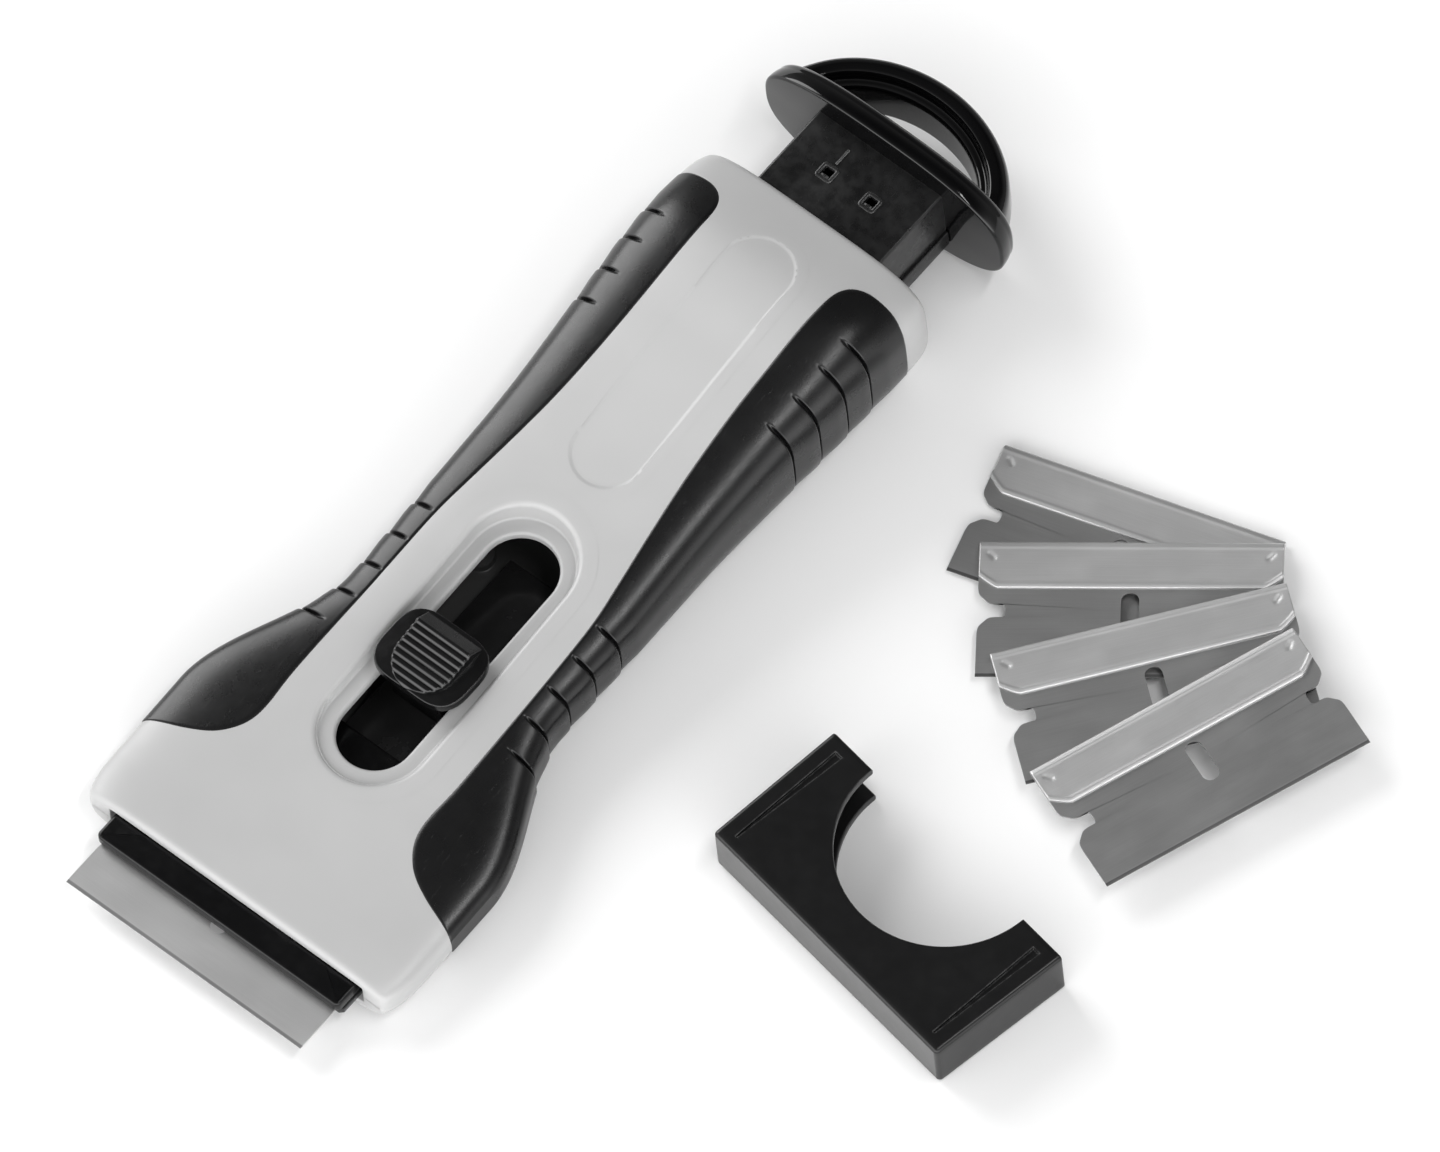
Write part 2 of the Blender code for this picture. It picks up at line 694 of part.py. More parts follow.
def build_grips():
    rubber = material("grip_rubber", RUBBER, 0.5, 0)
    core = place("grip_core_cutter", core_form(SKIN_GAP))
    for side in ("right", "left"):
        outline = grip_outline(SKIN_GAP)
        grooves = [groove_form(share) for share in WAIST_GROOVE_SHARES + TAIL_GROOVE_SHARES]
        if side == "left":
            outline = mirrored(outline)
            for groove in grooves:
                bmesh.ops.scale(groove, vec=(-1, 1, 1), verts=groove.verts)
        grip = place(side + "_grip", outer_form(), rubber, smooth_below=35)
        plan = place(side + "_grip_plan", prism(outline, -OVERRUN, NOSE_HEIGHT + HUMP_RISE + OVERRUN))
        combine(grip, plan, "INTERSECT")
        cut(grip, core)
        for i, groove in enumerate(grooves):
            cut(grip, place(f"{side}_groove_{i + 1}", groove))


def build_screws():
    steel = material("screw_steel", STEEL, 0.35, 1)
    for i, centre in enumerate(screw_places()):
        low = SCREW_HEAD_DEPTH
        head_top = low + SCREW_HEAD_HEIGHT
        shape = cylinder(SCREW_HEAD_RADIUS, (0, 0), low, head_top)
        screw = place(f"housing_screw_{i + 1}", shape, steel)
        shank = place(
            f"screw_shank_{i + 1}",
            cylinder(SCREW_SHANK_RADIUS, (0, 0), low + SCREW_HEAD_HEIGHT / 2, low + SCREW_LENGTH),
            parent=screw,
        )
        add(screw, shank)
        for k, (x, y) in enumerate(((SCREW_DRIVE_LENGTH, SCREW_DRIVE_WIDTH), (SCREW_DRIVE_WIDTH, SCREW_DRIVE_LENGTH))):
            drive = box((-x / 2, -y / 2, low - OVERRUN), (x / 2, y / 2, low + SCREW_DRIVE_DEPTH))
            cut(screw, place(f"screw_drive_{i + 1}_{k + 1}", drive, parent=screw))
        screw.location = (*centre, 0)


def blade_outline():
    """The plate's outline up to the ground edge, from the back: notched at both ends."""
    half = BLADE_LENGTH / 2
    throat = NOTCH_THROAT / 2
    mouth = NOTCH_MOUTH / 2
    inner = NOTCH_DEPTH - throat
    flare = (mouth - throat) / 2
    side = [
        (half, 0),
        (half, NOTCH_PLACE - mouth),
        (half - flare, NOTCH_PLACE - mouth + flare),
        (half - 2 * flare, NOTCH_PLACE - throat),
        (half - inner, NOTCH_PLACE - throat),
        (half - NOTCH_DEPTH, NOTCH_PLACE),
        (half - inner, NOTCH_PLACE + throat),
        (half - 2 * flare, NOTCH_PLACE + throat),
        (half - flare, NOTCH_PLACE + mouth - flare),
        (half, NOTCH_PLACE + mouth),
        (half, BLADE_WIDTH - BLADE_GRIND),
    ]
    return side + mirrored(side)


def blade_form():
    """A razor plate with its back at y = 0 and its ground cutting edge towards -Y."""
    shape = bmesh.new()
    outline = [(x, -y) for x, y in blade_outline()]
    top = [shape.verts.new((x, y, BLADE_THICKNESS / 2)) for x, y in outline]
    bottom = [shape.verts.new((x, y, -BLADE_THICKNESS / 2)) for x, y in outline]
    shape.faces.new(top)
    shape.faces.new(bottom)
    right = len(outline) // 2 - 1
    left = right + 1
    for i in range(len(outline)):
        j = (i + 1) % len(outline)
        if i != right:
            shape.faces.new((top[i], top[j], bottom[j], bottom[i]))
    edge = {}
    for name, x in (("right", BLADE_LENGTH / 2), ("left", -BLADE_LENGTH / 2)):
        for level in (1, -1):
            edge[name, level] = shape.verts.new((x, -BLADE_WIDTH, level * BLADE_EDGE_THICKNESS / 2))
    shape.faces.new((top[right], top[left], edge["left", 1], edge["right", 1]))
    shape.faces.new((bottom[right], bottom[left], edge["left", -1], edge["right", -1]))
    shape.faces.new((edge["left", 1], edge["right", 1], edge["right", -1], edge["left", -1]))
    shape.faces.new((top[right], edge["right", 1], edge["right", -1], bottom[right]))
    shape.faces.new((top[left], edge["left", 1], edge["left", -1], bottom[left]))
    return shape


def spine_form():
    """The folded back of a razor blade, with its front corners cut off."""
    half = BLADE_LENGTH / 2
    side = [
        (half, 0),
        (half, SPINE_WIDTH - SPINE_CHAMFER),
        (half - SPINE_CHAMFER_RUN, SPINE_WIDTH),
    ]
    outline = [(x, -y) for x, y in side + mirrored(side)]
    return prism(outline, -SPINE_THICKNESS / 2, SPINE_THICKNESS / 2)


def build_blade(blade_name, parent):
    """A blade and its folded spine, with the back at the parent's origin."""
    steel = material("blade_steel", STEEL, 0.38, 1)
    bright = material("spine_steel", BRIGHT_STEEL, 0.42, 1)
    inset = SPINE_WIDTH - SPINE_BITE
    plate = place(blade_name, blade_form(), steel, parent)
    hole_middle = -(HOLE_START + HOLE_END) / 2
    hole = prism(obround(HOLE_RADIUS, (HOLE_END - HOLE_START) / 2, hole_middle, 6), -OVERRUN, OVERRUN)
    back = box((-BLADE_LENGTH, -inset, -OVERRUN), (BLADE_LENGTH, OVERRUN, OVERRUN))
    cut(plate, place(blade_name + "_hole", hole, parent=parent), place(blade_name + "_back", back, parent=parent))
    spine = place(blade_name + "_spine", spine_form(), bright, parent)
    bite_half = BLADE_THICKNESS / 2 + SEAT_GAP
    bite = box(
        (-BLADE_LENGTH, -SPINE_WIDTH - OVERRUN, -bite_half),
        (BLADE_LENGTH, -inset + SEAT_GAP, bite_half),
    )
    cut(spine, place(blade_name + "_bite", bite, parent=parent))


def carriage_outline(front, shank):
    """The carriage's plan from its front line back, with or without the shank and its tongue."""
    half = CARRIAGE_HALF_WIDTH
    side = [(half - CARRIAGE_CHAMFER, front), (half, front + CARRIAGE_CHAMFER), (half, WIDE_END)]
    run = TAPER_END - WIDE_END
    drop = half - TAPER_HALF_WIDTH
    side += [(TAPER_HALF_WIDTH + drop * width, WIDE_END + run * length) for length, width in TAPER_SHARES]
    side.append((TAPER_HALF_WIDTH, TAPER_END))
    if shank:
        slant = SHANK_HALF_WIDTH - TONGUE_HALF_WIDTH
        side += [(SHANK_HALF_WIDTH, TAPER_END), (SHANK_HALF_WIDTH, SHANK_END - slant)]
        side += [(TONGUE_HALF_WIDTH, SHANK_END), (TONGUE_HALF_WIDTH, TONGUE_END)]
    return side + mirrored(side)


def build_carriage(carrier):
    """Carriage, clamp, working blade and button, with y counted from the cutting edge and z from the floor."""
    black = material("black_plastic", BLACK, 0.32, 0)
    plate_top = BLADE_PLANE - BLADE_THICKNESS / 2 - SEAT_GAP
    bottom = plate_top - CARRIAGE_THICKNESS
    clamp_bottom = BLADE_PLANE + BLADE_THICKNESS / 2 + SEAT_GAP
    pad_top = clamp_bottom - SEAT_GAP
    clamp_top = clamp_bottom + CLAMP_THICKNESS
    spine_half = SPINE_THICKNESS / 2 + SEAT_GAP
    spine_front = BLADE_WIDTH - SPINE_WIDTH - RUN_GAP
    spine_rear = BLADE_WIDTH + SEAT_GAP
    pocket = BLADE_LENGTH / 2 + SKIN_GAP

    carriage = place("blade_carriage", prism(carriage_outline(CARRIAGE_FRONT, True), bottom, pad_top), black, carrier)
    blade_bed = box((-CHEEK_HALF_WIDTH, -OVERRUN, plate_top), (CHEEK_HALF_WIDTH, spine_rear, NOSE_HEIGHT))
    spine_bed = box((-pocket, spine_front, BLADE_PLANE - spine_half), (pocket, spine_rear, NOSE_HEIGHT))
    cut(carriage, place("blade_bed", blade_bed, parent=carrier), place("spine_bed", spine_bed, parent=carrier))
    clamp = place("blade_clamp", prism(carriage_outline(CLAMP_FRONT, False), clamp_bottom, clamp_top), black, carrier)
    spine_roof = box((-pocket, spine_front, bottom), (pocket, spine_rear, BLADE_PLANE + spine_half))
    cut(clamp, place("spine_roof", spine_roof, parent=carrier))
    edge = [
        (CLAMP_FRONT - OVERRUN, clamp_top + OVERRUN),
        (CLAMP_FRONT - OVERRUN, clamp_top - CLAMP_EDGE - OVERRUN),
        (CLAMP_FRONT + CLAMP_EDGE + OVERRUN, clamp_top + OVERRUN),
    ]
    front_edge = side_prism(edge, -CHEEK_HALF_WIDTH, CHEEK_HALF_WIDTH)
    cut(clamp, place("clamp_front_edge", front_edge, parent=carrier))
    for i, side in enumerate((-1, 1)):
        centre = (side * POST_SPREAD, POST_PLACE)
        post = cylinder(POST_RADIUS, centre, plate_top - SEAT_GAP, clamp_top - CLAMP_EDGE, 12)
        hole = cylinder(POST_RADIUS + SKIN_GAP, centre, bottom, clamp_top + OVERRUN, 12)
        add(carriage, place(f"clamp_post_{i + 1}", post, parent=carrier))
        cut(clamp, place(f"clamp_hole_{i + 1}", hole, parent=carrier))

    stem_middle = STEM_FRONT + STEM_LENGTH / 2
    peg_half = PEG_SIZE / 2
    hole_half = peg_half + SKIN_GAP
    peg_hole = box(
        (-hole_half, stem_middle - hole_half, bottom - OVERRUN),
        (hole_half, stem_middle + hole_half, pad_top + OVERRUN),
    )
    cut(carriage, place("peg_hole", peg_hole, parent=carrier))
    build_button(carrier, black, pad_top + SEAT_GAP, bottom, stem_middle)
    back = empty("working_blade_back", (0, BLADE_WIDTH, BLADE_PLANE))
    back.parent = carrier
    build_blade("working_blade", back)


def skirt_ring(inset, height):
    """A rounded rectangle with long corners, as one ring of the button's skirt."""
    corner = SKIRT_CORNER - inset
    half = SKIRT_HALF_WIDTH - inset
    half_length = SKIRT_LENGTH / 2 - inset
    middle = SKIRT_FRONT + SKIRT_LENGTH / 2
    ring = []
    for quarter, (x, y) in enumerate(((1, 1), (-1, 1), (-1, -1), (1, -1))):
        for i in range(TOP_SEGMENTS // 3 + 1):
            turn = math.pi / 2 * (quarter + i / (TOP_SEGMENTS // 3))
            ring.append(
                Vector(
                    (
                        x * (half - corner) + corner * math.cos(turn),
                        middle + y * (half_length - corner) + corner * math.sin(turn),
                        height,
                    )
                )
            )
    return ring


def pad_profile():
    """The pad's side view: saw-tooth ribs that climb to the rear, then a sloping tail."""
    pitch = (PAD_LENGTH - PAD_TAIL_LENGTH) / RIB_COUNT
    climb = (PAD_REAR_HEIGHT - PAD_FRONT_HEIGHT) / RIB_COUNT
    points = []
    for i in range(RIB_COUNT):
        y = PAD_FRONT + pitch * i
        z = PAD_FRONT_HEIGHT + climb * i
        points.append((y, z - RIB_DEPTH))
        points.append((y + pitch * RIB_RISE_SHARE, z))
        points.append((y + pitch * RIB_CREST_SHARE, z))
    rear = PAD_FRONT + PAD_LENGTH
    points.append((rear - PAD_TAIL_LENGTH, PAD_REAR_HEIGHT - RIB_DEPTH))
    points.append((rear, PAD_REAR_HEIGHT - PAD_TAIL_DROP))
    low = SKIRT_BOTTOM + SKIRT_THICKNESS / 2
    return [*points, (rear, low), (PAD_FRONT, low)]


def build_button(carrier, black, stem_bottom, peg_bottom, stem_middle):
    """The thumb button: a ribbed pad on a skirt, on a stem that goes down through the slot."""
    skirt_top = SKIRT_BOTTOM + SKIRT_THICKNESS
    rings = [
        skirt_ring(0, SKIRT_BOTTOM),
        skirt_ring(0, skirt_top - SKIRT_EDGE),
        skirt_ring(SKIRT_EDGE, skirt_top),
    ]
    button = place("slider_button", loft(rings), black, carrier)
    pad = place("button_pad", side_prism(pad_profile(), -CHEEK_HALF_WIDTH, CHEEK_HALF_WIDTH), parent=carrier)
    half = PAD_HALF_WIDTH
    front = [
        (half * math.cos(turn), PAD_FRONT + half - half * math.sin(turn))
        for turn in (math.pi * i / TOP_SEGMENTS for i in range(TOP_SEGMENTS + 1))
    ]
    outline = [(half, PAD_FRONT + PAD_LENGTH), *front, (-half, PAD_FRONT + PAD_LENGTH)]
    plan = place("pad_plan", prism(outline, 0, PAD_REAR_HEIGHT + OVERRUN), parent=carrier)
    combine(pad, plan, "INTERSECT")
    stem = box(
        (-STEM_HALF_WIDTH, STEM_FRONT, stem_bottom),
        (STEM_HALF_WIDTH, STEM_FRONT + STEM_LENGTH, SKIRT_BOTTOM + SKIRT_THICKNESS / 2),
    )
    peg_half = PEG_SIZE / 2
    peg = box(
        (-peg_half, stem_middle - peg_half, peg_bottom),
        (peg_half, stem_middle + peg_half, SKIRT_BOTTOM),
    )
    add(button, pad, place("button_stem", stem, parent=carrier), place("button_peg", peg, parent=carrier))


def build_store(carrier):
    """Blade tray, its lid and the end cap, with y counted from the cap's front face and z from the floor."""
    black = material("store_plastic", BLACK, 0.4, 0)
    tray_form = box((-TRAY_HALF_WIDTH, -TRAY_LENGTH, TRAY_BOTTOM), (TRAY_HALF_WIDTH, -SEAT_GAP, TRAY_TOP))
    tray = place("drawer_tray", tray_form, black, carrier)
    tray_inner = TRAY_HALF_WIDTH - TRAY_WALL
    hollow = box(
        (-tray_inner, TRAY_WALL - TRAY_LENGTH, TRAY_BOTTOM + TRAY_WALL),
        (tray_inner, -TRAY_WALL, TRAY_TOP + OVERRUN),
    )
    cut(tray, place("tray_hollow", hollow, parent=carrier))
    for i, side in enumerate((-1, 1)):
        x = side * LUG_SPREAD
        lug = box(
            (x - LUG_WIDTH / 2, -TRAY_LENGTH, TRAY_BOTTOM - LUG_DROP),
            (x + LUG_WIDTH / 2, LUG_LENGTH - TRAY_LENGTH, TRAY_BOTTOM + TRAY_WALL / 2),
        )
        add(tray, place(f"stop_lug_{i + 1}", lug, parent=carrier))

    lid_bottom = TRAY_TOP + SEAT_GAP
    lid_form = box((-LID_HALF_WIDTH, -LID_LENGTH, lid_bottom), (LID_HALF_WIDTH, -SEAT_GAP, LID_TOP))
    lid = place("drawer_lid", lid_form, black, carrier)
    lid_inner = LID_HALF_WIDTH - LID_WALL
    hollow = box(
        (-lid_inner, LID_WALL - LID_LENGTH, lid_bottom - OVERRUN),
        (lid_inner, -LID_WALL, LID_TOP - LID_WALL),
    )
    cut(lid, place("lid_hollow", hollow, parent=carrier))
    for i, side in enumerate((-1, 1)):
        x = side * WINDOW_SPREAD
        half = WINDOW_SIZE / 2
        window = box(
            (x - half, -WINDOW_PLACE - half, LID_TOP - LID_WALL - OVERRUN),
            (x + half, half - WINDOW_PLACE, LID_TOP + OVERRUN),
        )
        cut(lid, place(f"snap_window_{i + 1}", window, parent=carrier))
    build_cap(carrier)


def cap_ring(y, inset):
    middle = (CAP_TOP + CAP_BOTTOM) / 2
    half = CAP_HALF_WIDTH - inset
    rise = (CAP_TOP - CAP_BOTTOM) / 2 - inset
    ring = []
    for i in range(CAP_SEGMENTS):
        turn = 2 * math.pi * i / CAP_SEGMENTS
        c = math.cos(turn)
        s = math.sin(turn)
        reach = (abs(c) ** CAP_POWER + abs(s) ** CAP_POWER) ** (-1 / CAP_POWER)
        ring.append(Vector((half * c * reach, y, middle + rise * s * reach)))
    return ring


def loop_ring(turn):
    """One section of the hanging loop: a stepped bar, drawn in from the outer ellipse."""
    w = LOOP_WIDTH
    h = LOOP_HEIGHT
    inner_top = h - LOOP_STEP
    profile_shares = (
        (0.00, 0.30),
        (0.32, 0.00),
        (0.86, 0.00),
        (1.00, 0.08),
        (1.00, 0.92),
        (0.88, 1.00),
        (0.49, 1.00),
    )
    section_points = [(w * inset, inner_top * height) for inset, height in profile_shares]
    rim_shares = ((0.41, 0.7), (0.32, 1.0), (0.15, 1.0), (0.0, 0.5))
    section_points += [(w * inset, inner_top + LOOP_STEP * height) for inset, height in rim_shares]
    ring = []
    for inset, height in section_points:
        x = (LOOP_HALF_WIDTH - inset) * math.cos(turn)
        y = LOOP_CENTRE + (LOOP_REACH - inset) * math.sin(turn)
        ring.append(Vector((x, y, LOOP_BOTTOM + height)))
    return ring


def build_cap(carrier):
    """The end cap: a rounded plate with the hanging loop on its back."""
    gloss = material("gloss_black_plastic", BLACK, 0.12, 0)
    rings = [
        cap_ring(0, CAP_ROUND),
        cap_ring(CAP_ROUND, 0),
        cap_ring(CAP_THICKNESS - CAP_ROUND, CAP_TAPER),
        cap_ring(CAP_THICKNESS, CAP_TAPER + CAP_ROUND),
    ]
    cap = place("rear_cap", loft(rings), gloss, carrier, smooth_below=35)
    start = math.pi * LOOP_ROOT_SHARE
    run = math.pi * (1 - 2 * LOOP_ROOT_SHARE)
    loop_rings = [loop_ring(start + run * i / LOOP_SEGMENTS) for i in range(LOOP_SEGMENTS + 1)]
    add(cap, place("hanging_loop", loft(loop_rings), parent=carrier))


def build_guard():
    """The blade guard: a flat box open along one long side, with a round cut-out through it."""
    black = material("guard_plastic", BLACK, 0.36, 0)
    half = GUARD_LENGTH / 2
    back = -GUARD_WIDTH / 2
    mouth = GUARD_WIDTH / 2
    wide = half + GUARD_FLARE
    outline = [(-half, back), (half, back), (wide, mouth), (-wide, mouth)]
    guard = place("blade_guard", prism(outline, 0, GUARD_HEIGHT), black)
    inner = half - GUARD_WALL
    past = mouth + OVERRUN
    wider = inner + GUARD_FLARE * (past - back) / GUARD_WIDTH
    inside = [(-inner, back + GUARD_WALL), (inner, back + GUARD_WALL), (wider, past), (-wider, past)]
    hollow = prism(inside, GUARD_WALL, GUARD_HEIGHT - GUARD_WALL)
    cut_out = cylinder(GUARD_CUT_RADIUS, (0, mouth), -OVERRUN, GUARD_HEIGHT + OVERRUN, 48)
    cut(guard, place("guard_hollow", hollow, parent=guard), place("guard_cut_out", cut_out, parent=guard))
    for i, side in enumerate((-1, 1)):
        outer = half - GUARD_GROOVE_INSET
        outline = [
            (outer, back + GUARD_GROOVE_END_INSET),
            (outer + GUARD_FLARE, mouth - GUARD_GROOVE_END_INSET),
            (outer + GUARD_FLARE - GUARD_GROOVE_WIDTH, mouth - GUARD_GROOVE_END_INSET),
        ]
        if side < 0:
            outline = mirrored(outline)
        groove = prism(outline, GUARD_HEIGHT - GUARD_GROOVE_DEPTH, GUARD_HEIGHT + OVERRUN)
        cut(guard, place(f"guard_groove_{i + 1}", groove, parent=guard))
    guard.location = (*GUARD_CENTRE, 0)
    guard.rotation_euler.z = math.radians(GUARD_TURN)


def build_spares():
    """Four spare blades in a fan, each one layer above the last."""
    for i, (x, y, turn) in enumerate(SPARE_PLACES):
        angle = math.radians(turn)
        middle = Vector((x, y, 0)) + Matrix.Rotation(angle, 3, "Z") @ Vector((BLADE_LENGTH / 2, 0, 0))
        layer = SPINE_THICKNESS + SEAT_GAP
        middle.z = SPINE_THICKNESS / 2 + layer * i
        carrier = empty(f"spare_place_{i + 1}", middle)
        carrier.rotation_euler.z = angle
        build_blade(f"spare_blade_{i + 1}", carrier)


def main():
    clear_scene()
    build_housing()
    build_grips()
    build_screws()
    build_carriage(empty("carriage_slide", (0, EDGE_PLACE, 0)))
    build_store(empty("drawer_slide", (0, CAP_FRONT, 0)))
    build_guard()
    build_spares()
    bpy.context.view_layer.update()


main()
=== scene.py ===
"""Looks of the glass scraper: fine shells, grips, cap, button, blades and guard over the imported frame.

Every length is in millimetres and becomes metres where a mesh is made. +Y runs from the blade to the hanging
loop, +X to the guard and the spare blades, and +Z is up.
"""

import math

import bmesh
import bpy
import numpy as np
from mathutils import Matrix, Vector


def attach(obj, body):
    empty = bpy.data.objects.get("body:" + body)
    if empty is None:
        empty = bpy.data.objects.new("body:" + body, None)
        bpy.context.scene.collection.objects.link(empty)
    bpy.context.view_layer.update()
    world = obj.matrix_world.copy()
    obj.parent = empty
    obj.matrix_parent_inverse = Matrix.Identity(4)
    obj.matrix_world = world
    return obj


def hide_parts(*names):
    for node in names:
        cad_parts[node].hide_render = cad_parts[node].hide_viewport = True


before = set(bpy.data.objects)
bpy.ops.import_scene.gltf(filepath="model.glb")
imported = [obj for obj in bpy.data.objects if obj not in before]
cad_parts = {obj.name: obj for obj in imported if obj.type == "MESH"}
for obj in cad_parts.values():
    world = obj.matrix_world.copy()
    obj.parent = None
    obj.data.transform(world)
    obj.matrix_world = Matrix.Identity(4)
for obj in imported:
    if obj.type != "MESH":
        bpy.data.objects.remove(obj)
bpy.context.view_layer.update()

MM = 0.001
TURN = 2 * np.pi
CORNERS = ((1, -1), (1, 1), (-1, 1), (-1, -1))

# Housing, outer form
HOUSING_LENGTH = 114.2
FRONT = -HOUSING_LENGTH / 2
REAR = HOUSING_LENGTH / 2
CHEEK_HALF_WIDTH = 25.2
WAIST_HALF_WIDTH = 17.0
TAIL_HALF_WIDTH = 18.7
CHEEK_END_SHARE = 0.17
WAIST_START_SHARE = 0.385
WAIST_END_SHARE = 0.6
TAIL_START_SHARE = 0.925
FRONT_CORNER_LENGTH = 5.7
FRONT_CORNER_INSET = 1.8
REAR_CORNER_LENGTH = 4.0
REAR_CORNER_INSET = 1.6
NOSE_HEIGHT = 7.0
HUMP_RISE = 13.0
RISE_SHARES = (
    (0, 0), (0.1, 0.06), (0.25, 0.185), (0.47, 0.39), (0.64, 0.61), (0.8, 0.87), (0.9, 0.99), (1, 0.84),
)
EDGE_ROUND = 0.9
WIDEST_SHARES = ((0, 0.52), (0.17, 0.53), (0.35, 0.55), (0.55, 0.55), (0.75, 0.53), (1, 0.51))
UNDER_DEPTH_SHARE = 1.06
UPPER_POWER = 4.0
LOWER_POWER = 3.5
PARTING_HEIGHT = 3.2
SEAM_ROUND = 0.18
LIP_INSETS = (0.8, 0.25, 0.05)
UPPER_LIP_SHARES = (-1, -1, -0.65)
LOWER_LIP_SHARES = (0, 0, -0.35)
SKIN_STEP = 0.4
SKIN_SEGMENTS = 150
UNDER_SEGMENTS = 96
UPPER_SINK = 0.9
LOWER_SINK = 0.6
SINK_MARGIN = 0.45
SINK_RUN = 0.5

# Mouth in front and opening behind
MOUTH_HALF_WIDTH = 20.5
MOUTH_TOP = 5.3
MOUTH_BOTTOM = 1.6
MOUTH_DEPTH = 20.0
STORE_HALF_WIDTH = 10.7
STORE_TOP = 16.0
STORE_DEPTH = 24.0
OPENING_EDGE = 0.3
OPENING_BEVEL = 0.09
OPENING_POWER = 24
STORE_SILL = 1.2

# Slot, dish and label panel
SLOT_HALF_WIDTH = 5.15
SLOT_HALF_LENGTH = 19.05
SLOT_MIDDLE = FRONT + 22.6 + SLOT_HALF_LENGTH
SLOT_WALL = 1.1
SLOT_EDGE = 0.45
DISH_MARGIN = 2.4
DISH_ROUND = 0.8
DISH_FOOT = 0.35
DISH_DRAFT = 0.15
DISH_COVER = 1.2
DISH_SKIRT = (2.6, 1.7)
DISH_ROUND_LIMIT = 0.55
LEDGE_FRONT_HEIGHT = 7.9
LEDGE_REAR_HEIGHT = 10.2
PANEL_HALF_WIDTH = 4.9
PANEL_HALF_LENGTH = 19.5
PANEL_MIDDLE = FRONT + 68.7 + PANEL_HALF_LENGTH
PANEL_DEPTH = 0.14
PANEL_STEP = 0.35
PANEL_COVER = 0.3
PANEL_SKIRT = (1.6, 0.9)
PATCH_LIFT = 0.015

# Grips
GRIP_EDGE_SHARES = (
    (0.0960, 1.050),
    (0.1060, 0.955),
    (0.1187, 0.780),
    (0.1331, 0.648),
    (0.1500, 0.568),
    (0.1700, 0.519),
    (0.1950, 0.504),
    (0.2400, 0.514),
    (0.3100, 0.513),
    (0.4100, 0.507),
    (0.4800, 0.497),
    (0.5300, 0.470),
    (0.6000, 0.427),
    (0.6700, 0.392),
    (0.7500, 0.371),
    (0.8200, 0.366),
    (0.8960, 0.366),
    (0.9380, 0.385),
    (0.9571, 0.476),
    (0.9597, 0.635),
    (0.9530, 0.760),
    (0.9470, 0.900),
    (0.9460, 1.050),
)
TURN_SCALE = 12.0
GRIP_PROUD = 0.12
GRIP_ROLL = 0.45
WAIST_GROOVE_SHARES = (0.481, 0.438, 0.394, 0.352, 0.311)
TAIL_GROOVE_SHARES = (0.894, 0.855, 0.812, 0.770)
GROOVE_DEPTH = 0.72
GROOVE_HALF_WIDTH = 0.2
TOOTH_DEPTH = 0.34
TOOTH_RUN = 3.2
TOOTH_EDGE = 0.12
GROOVE_BORDER = 1.2
GROOVE_TOP_TURN = 50
SLIT_FADE_TURN = 7
TOOTH_FADE_TURN = 38
GRIP_TAIL_SHARE = 0.93
GRIP_FRONT_RUN = 3.5
GRIP_STEP = 0.42
GROOVE_STEP = 0.07

# Screws in the underside
SCREW_PLACES = ((-9.0, 0.6), (9.0, 0.6))
SCREW_SINK_RADIUS = 2.0
SCREW_SINK_TOP = 1.25
SCREW_SINK_EDGE = 0.25
SCREW_SINK_COVER = 0.9
SCREW_SINK_SKIRT = (2.2, 1.4)

# Cap with its hanging loop
CAP_FRONT = REAR + 12.5
CAP_HALF_WIDTH = 19.3
CAP_BOTTOM = 0.2
CAP_TOP = 20.1
CAP_THICKNESS = 3.3
CAP_TAPER = 0.35
CAP_ROUND = 0.4
CAP_BACK_ROUND = 1.1
CAP_POWER = 2.7
LOOP_CENTRE = CAP_FRONT - 0.9
LOOP_HALF_WIDTH = 17.9
LOOP_REACH = 14.5
LOOP_WIDTH = 4.1
LOOP_BOTTOM = 5.6
LOOP_HEIGHT = 8.5
LOOP_STEP = 1.4
LOOP_ROOT_SHARE = 0.06
LOOP_BODY = ((0, 0.30), (0.32, 0), (0.86, 0), (1, 0.08), (1, 0.92), (0.93, 1), (0.70, 1))
LOOP_RIM = ((0.66, 0.6), (0.60, 1), (0.24, 1), (0, 0.5))
LOOP_CORNERS = (1.2, 1.2, 0.5, 0.4, 0.4, 0.45, 0.35, 0.3, 0.3, 0.5, 1.6)
LOOP_ROOT_SWELL = 0.5
LOOP_ROOT_RUN = 0.1
LOOP_ROOT_SHIFT = 0.1

# Lid with its windows
LID_HALF_WIDTH = 10.05
LID_BOTTOM = 7.15
LID_TOP = 15.7
LID_LENGTH = 21.0
LID_EDGE = 0.4
LID_SKIN = 0.9
WINDOW_HALF = 1.05
WINDOW_SPREAD = 3.5
WINDOW_MIDDLE = CAP_FRONT - 6.2
FRAME_HALF = 1.0
FRAME_SECTION = ((0.27, -0.03), (0.25, 0.07), (0.17, 0.12), (-0.17, 0.12), (-0.25, 0.05), (-0.28, -0.6))
HOOK_HALVES = (0.62, 0.2)
HOOK_SETBACK = 0.5
HOOK_LEVELS = ((0, -0.7), (0, -0.12), (0.06, -0.05))
BEAD_HALVES = (0.17, 1.3)
BEAD_MIDDLE = (0.16 - WINDOW_SPREAD, WINDOW_MIDDLE + 2.85)
BEAD_LEVELS = ((0, -0.05), (0, 0.1), (0.06, 0.16), (0.12, 0.17))

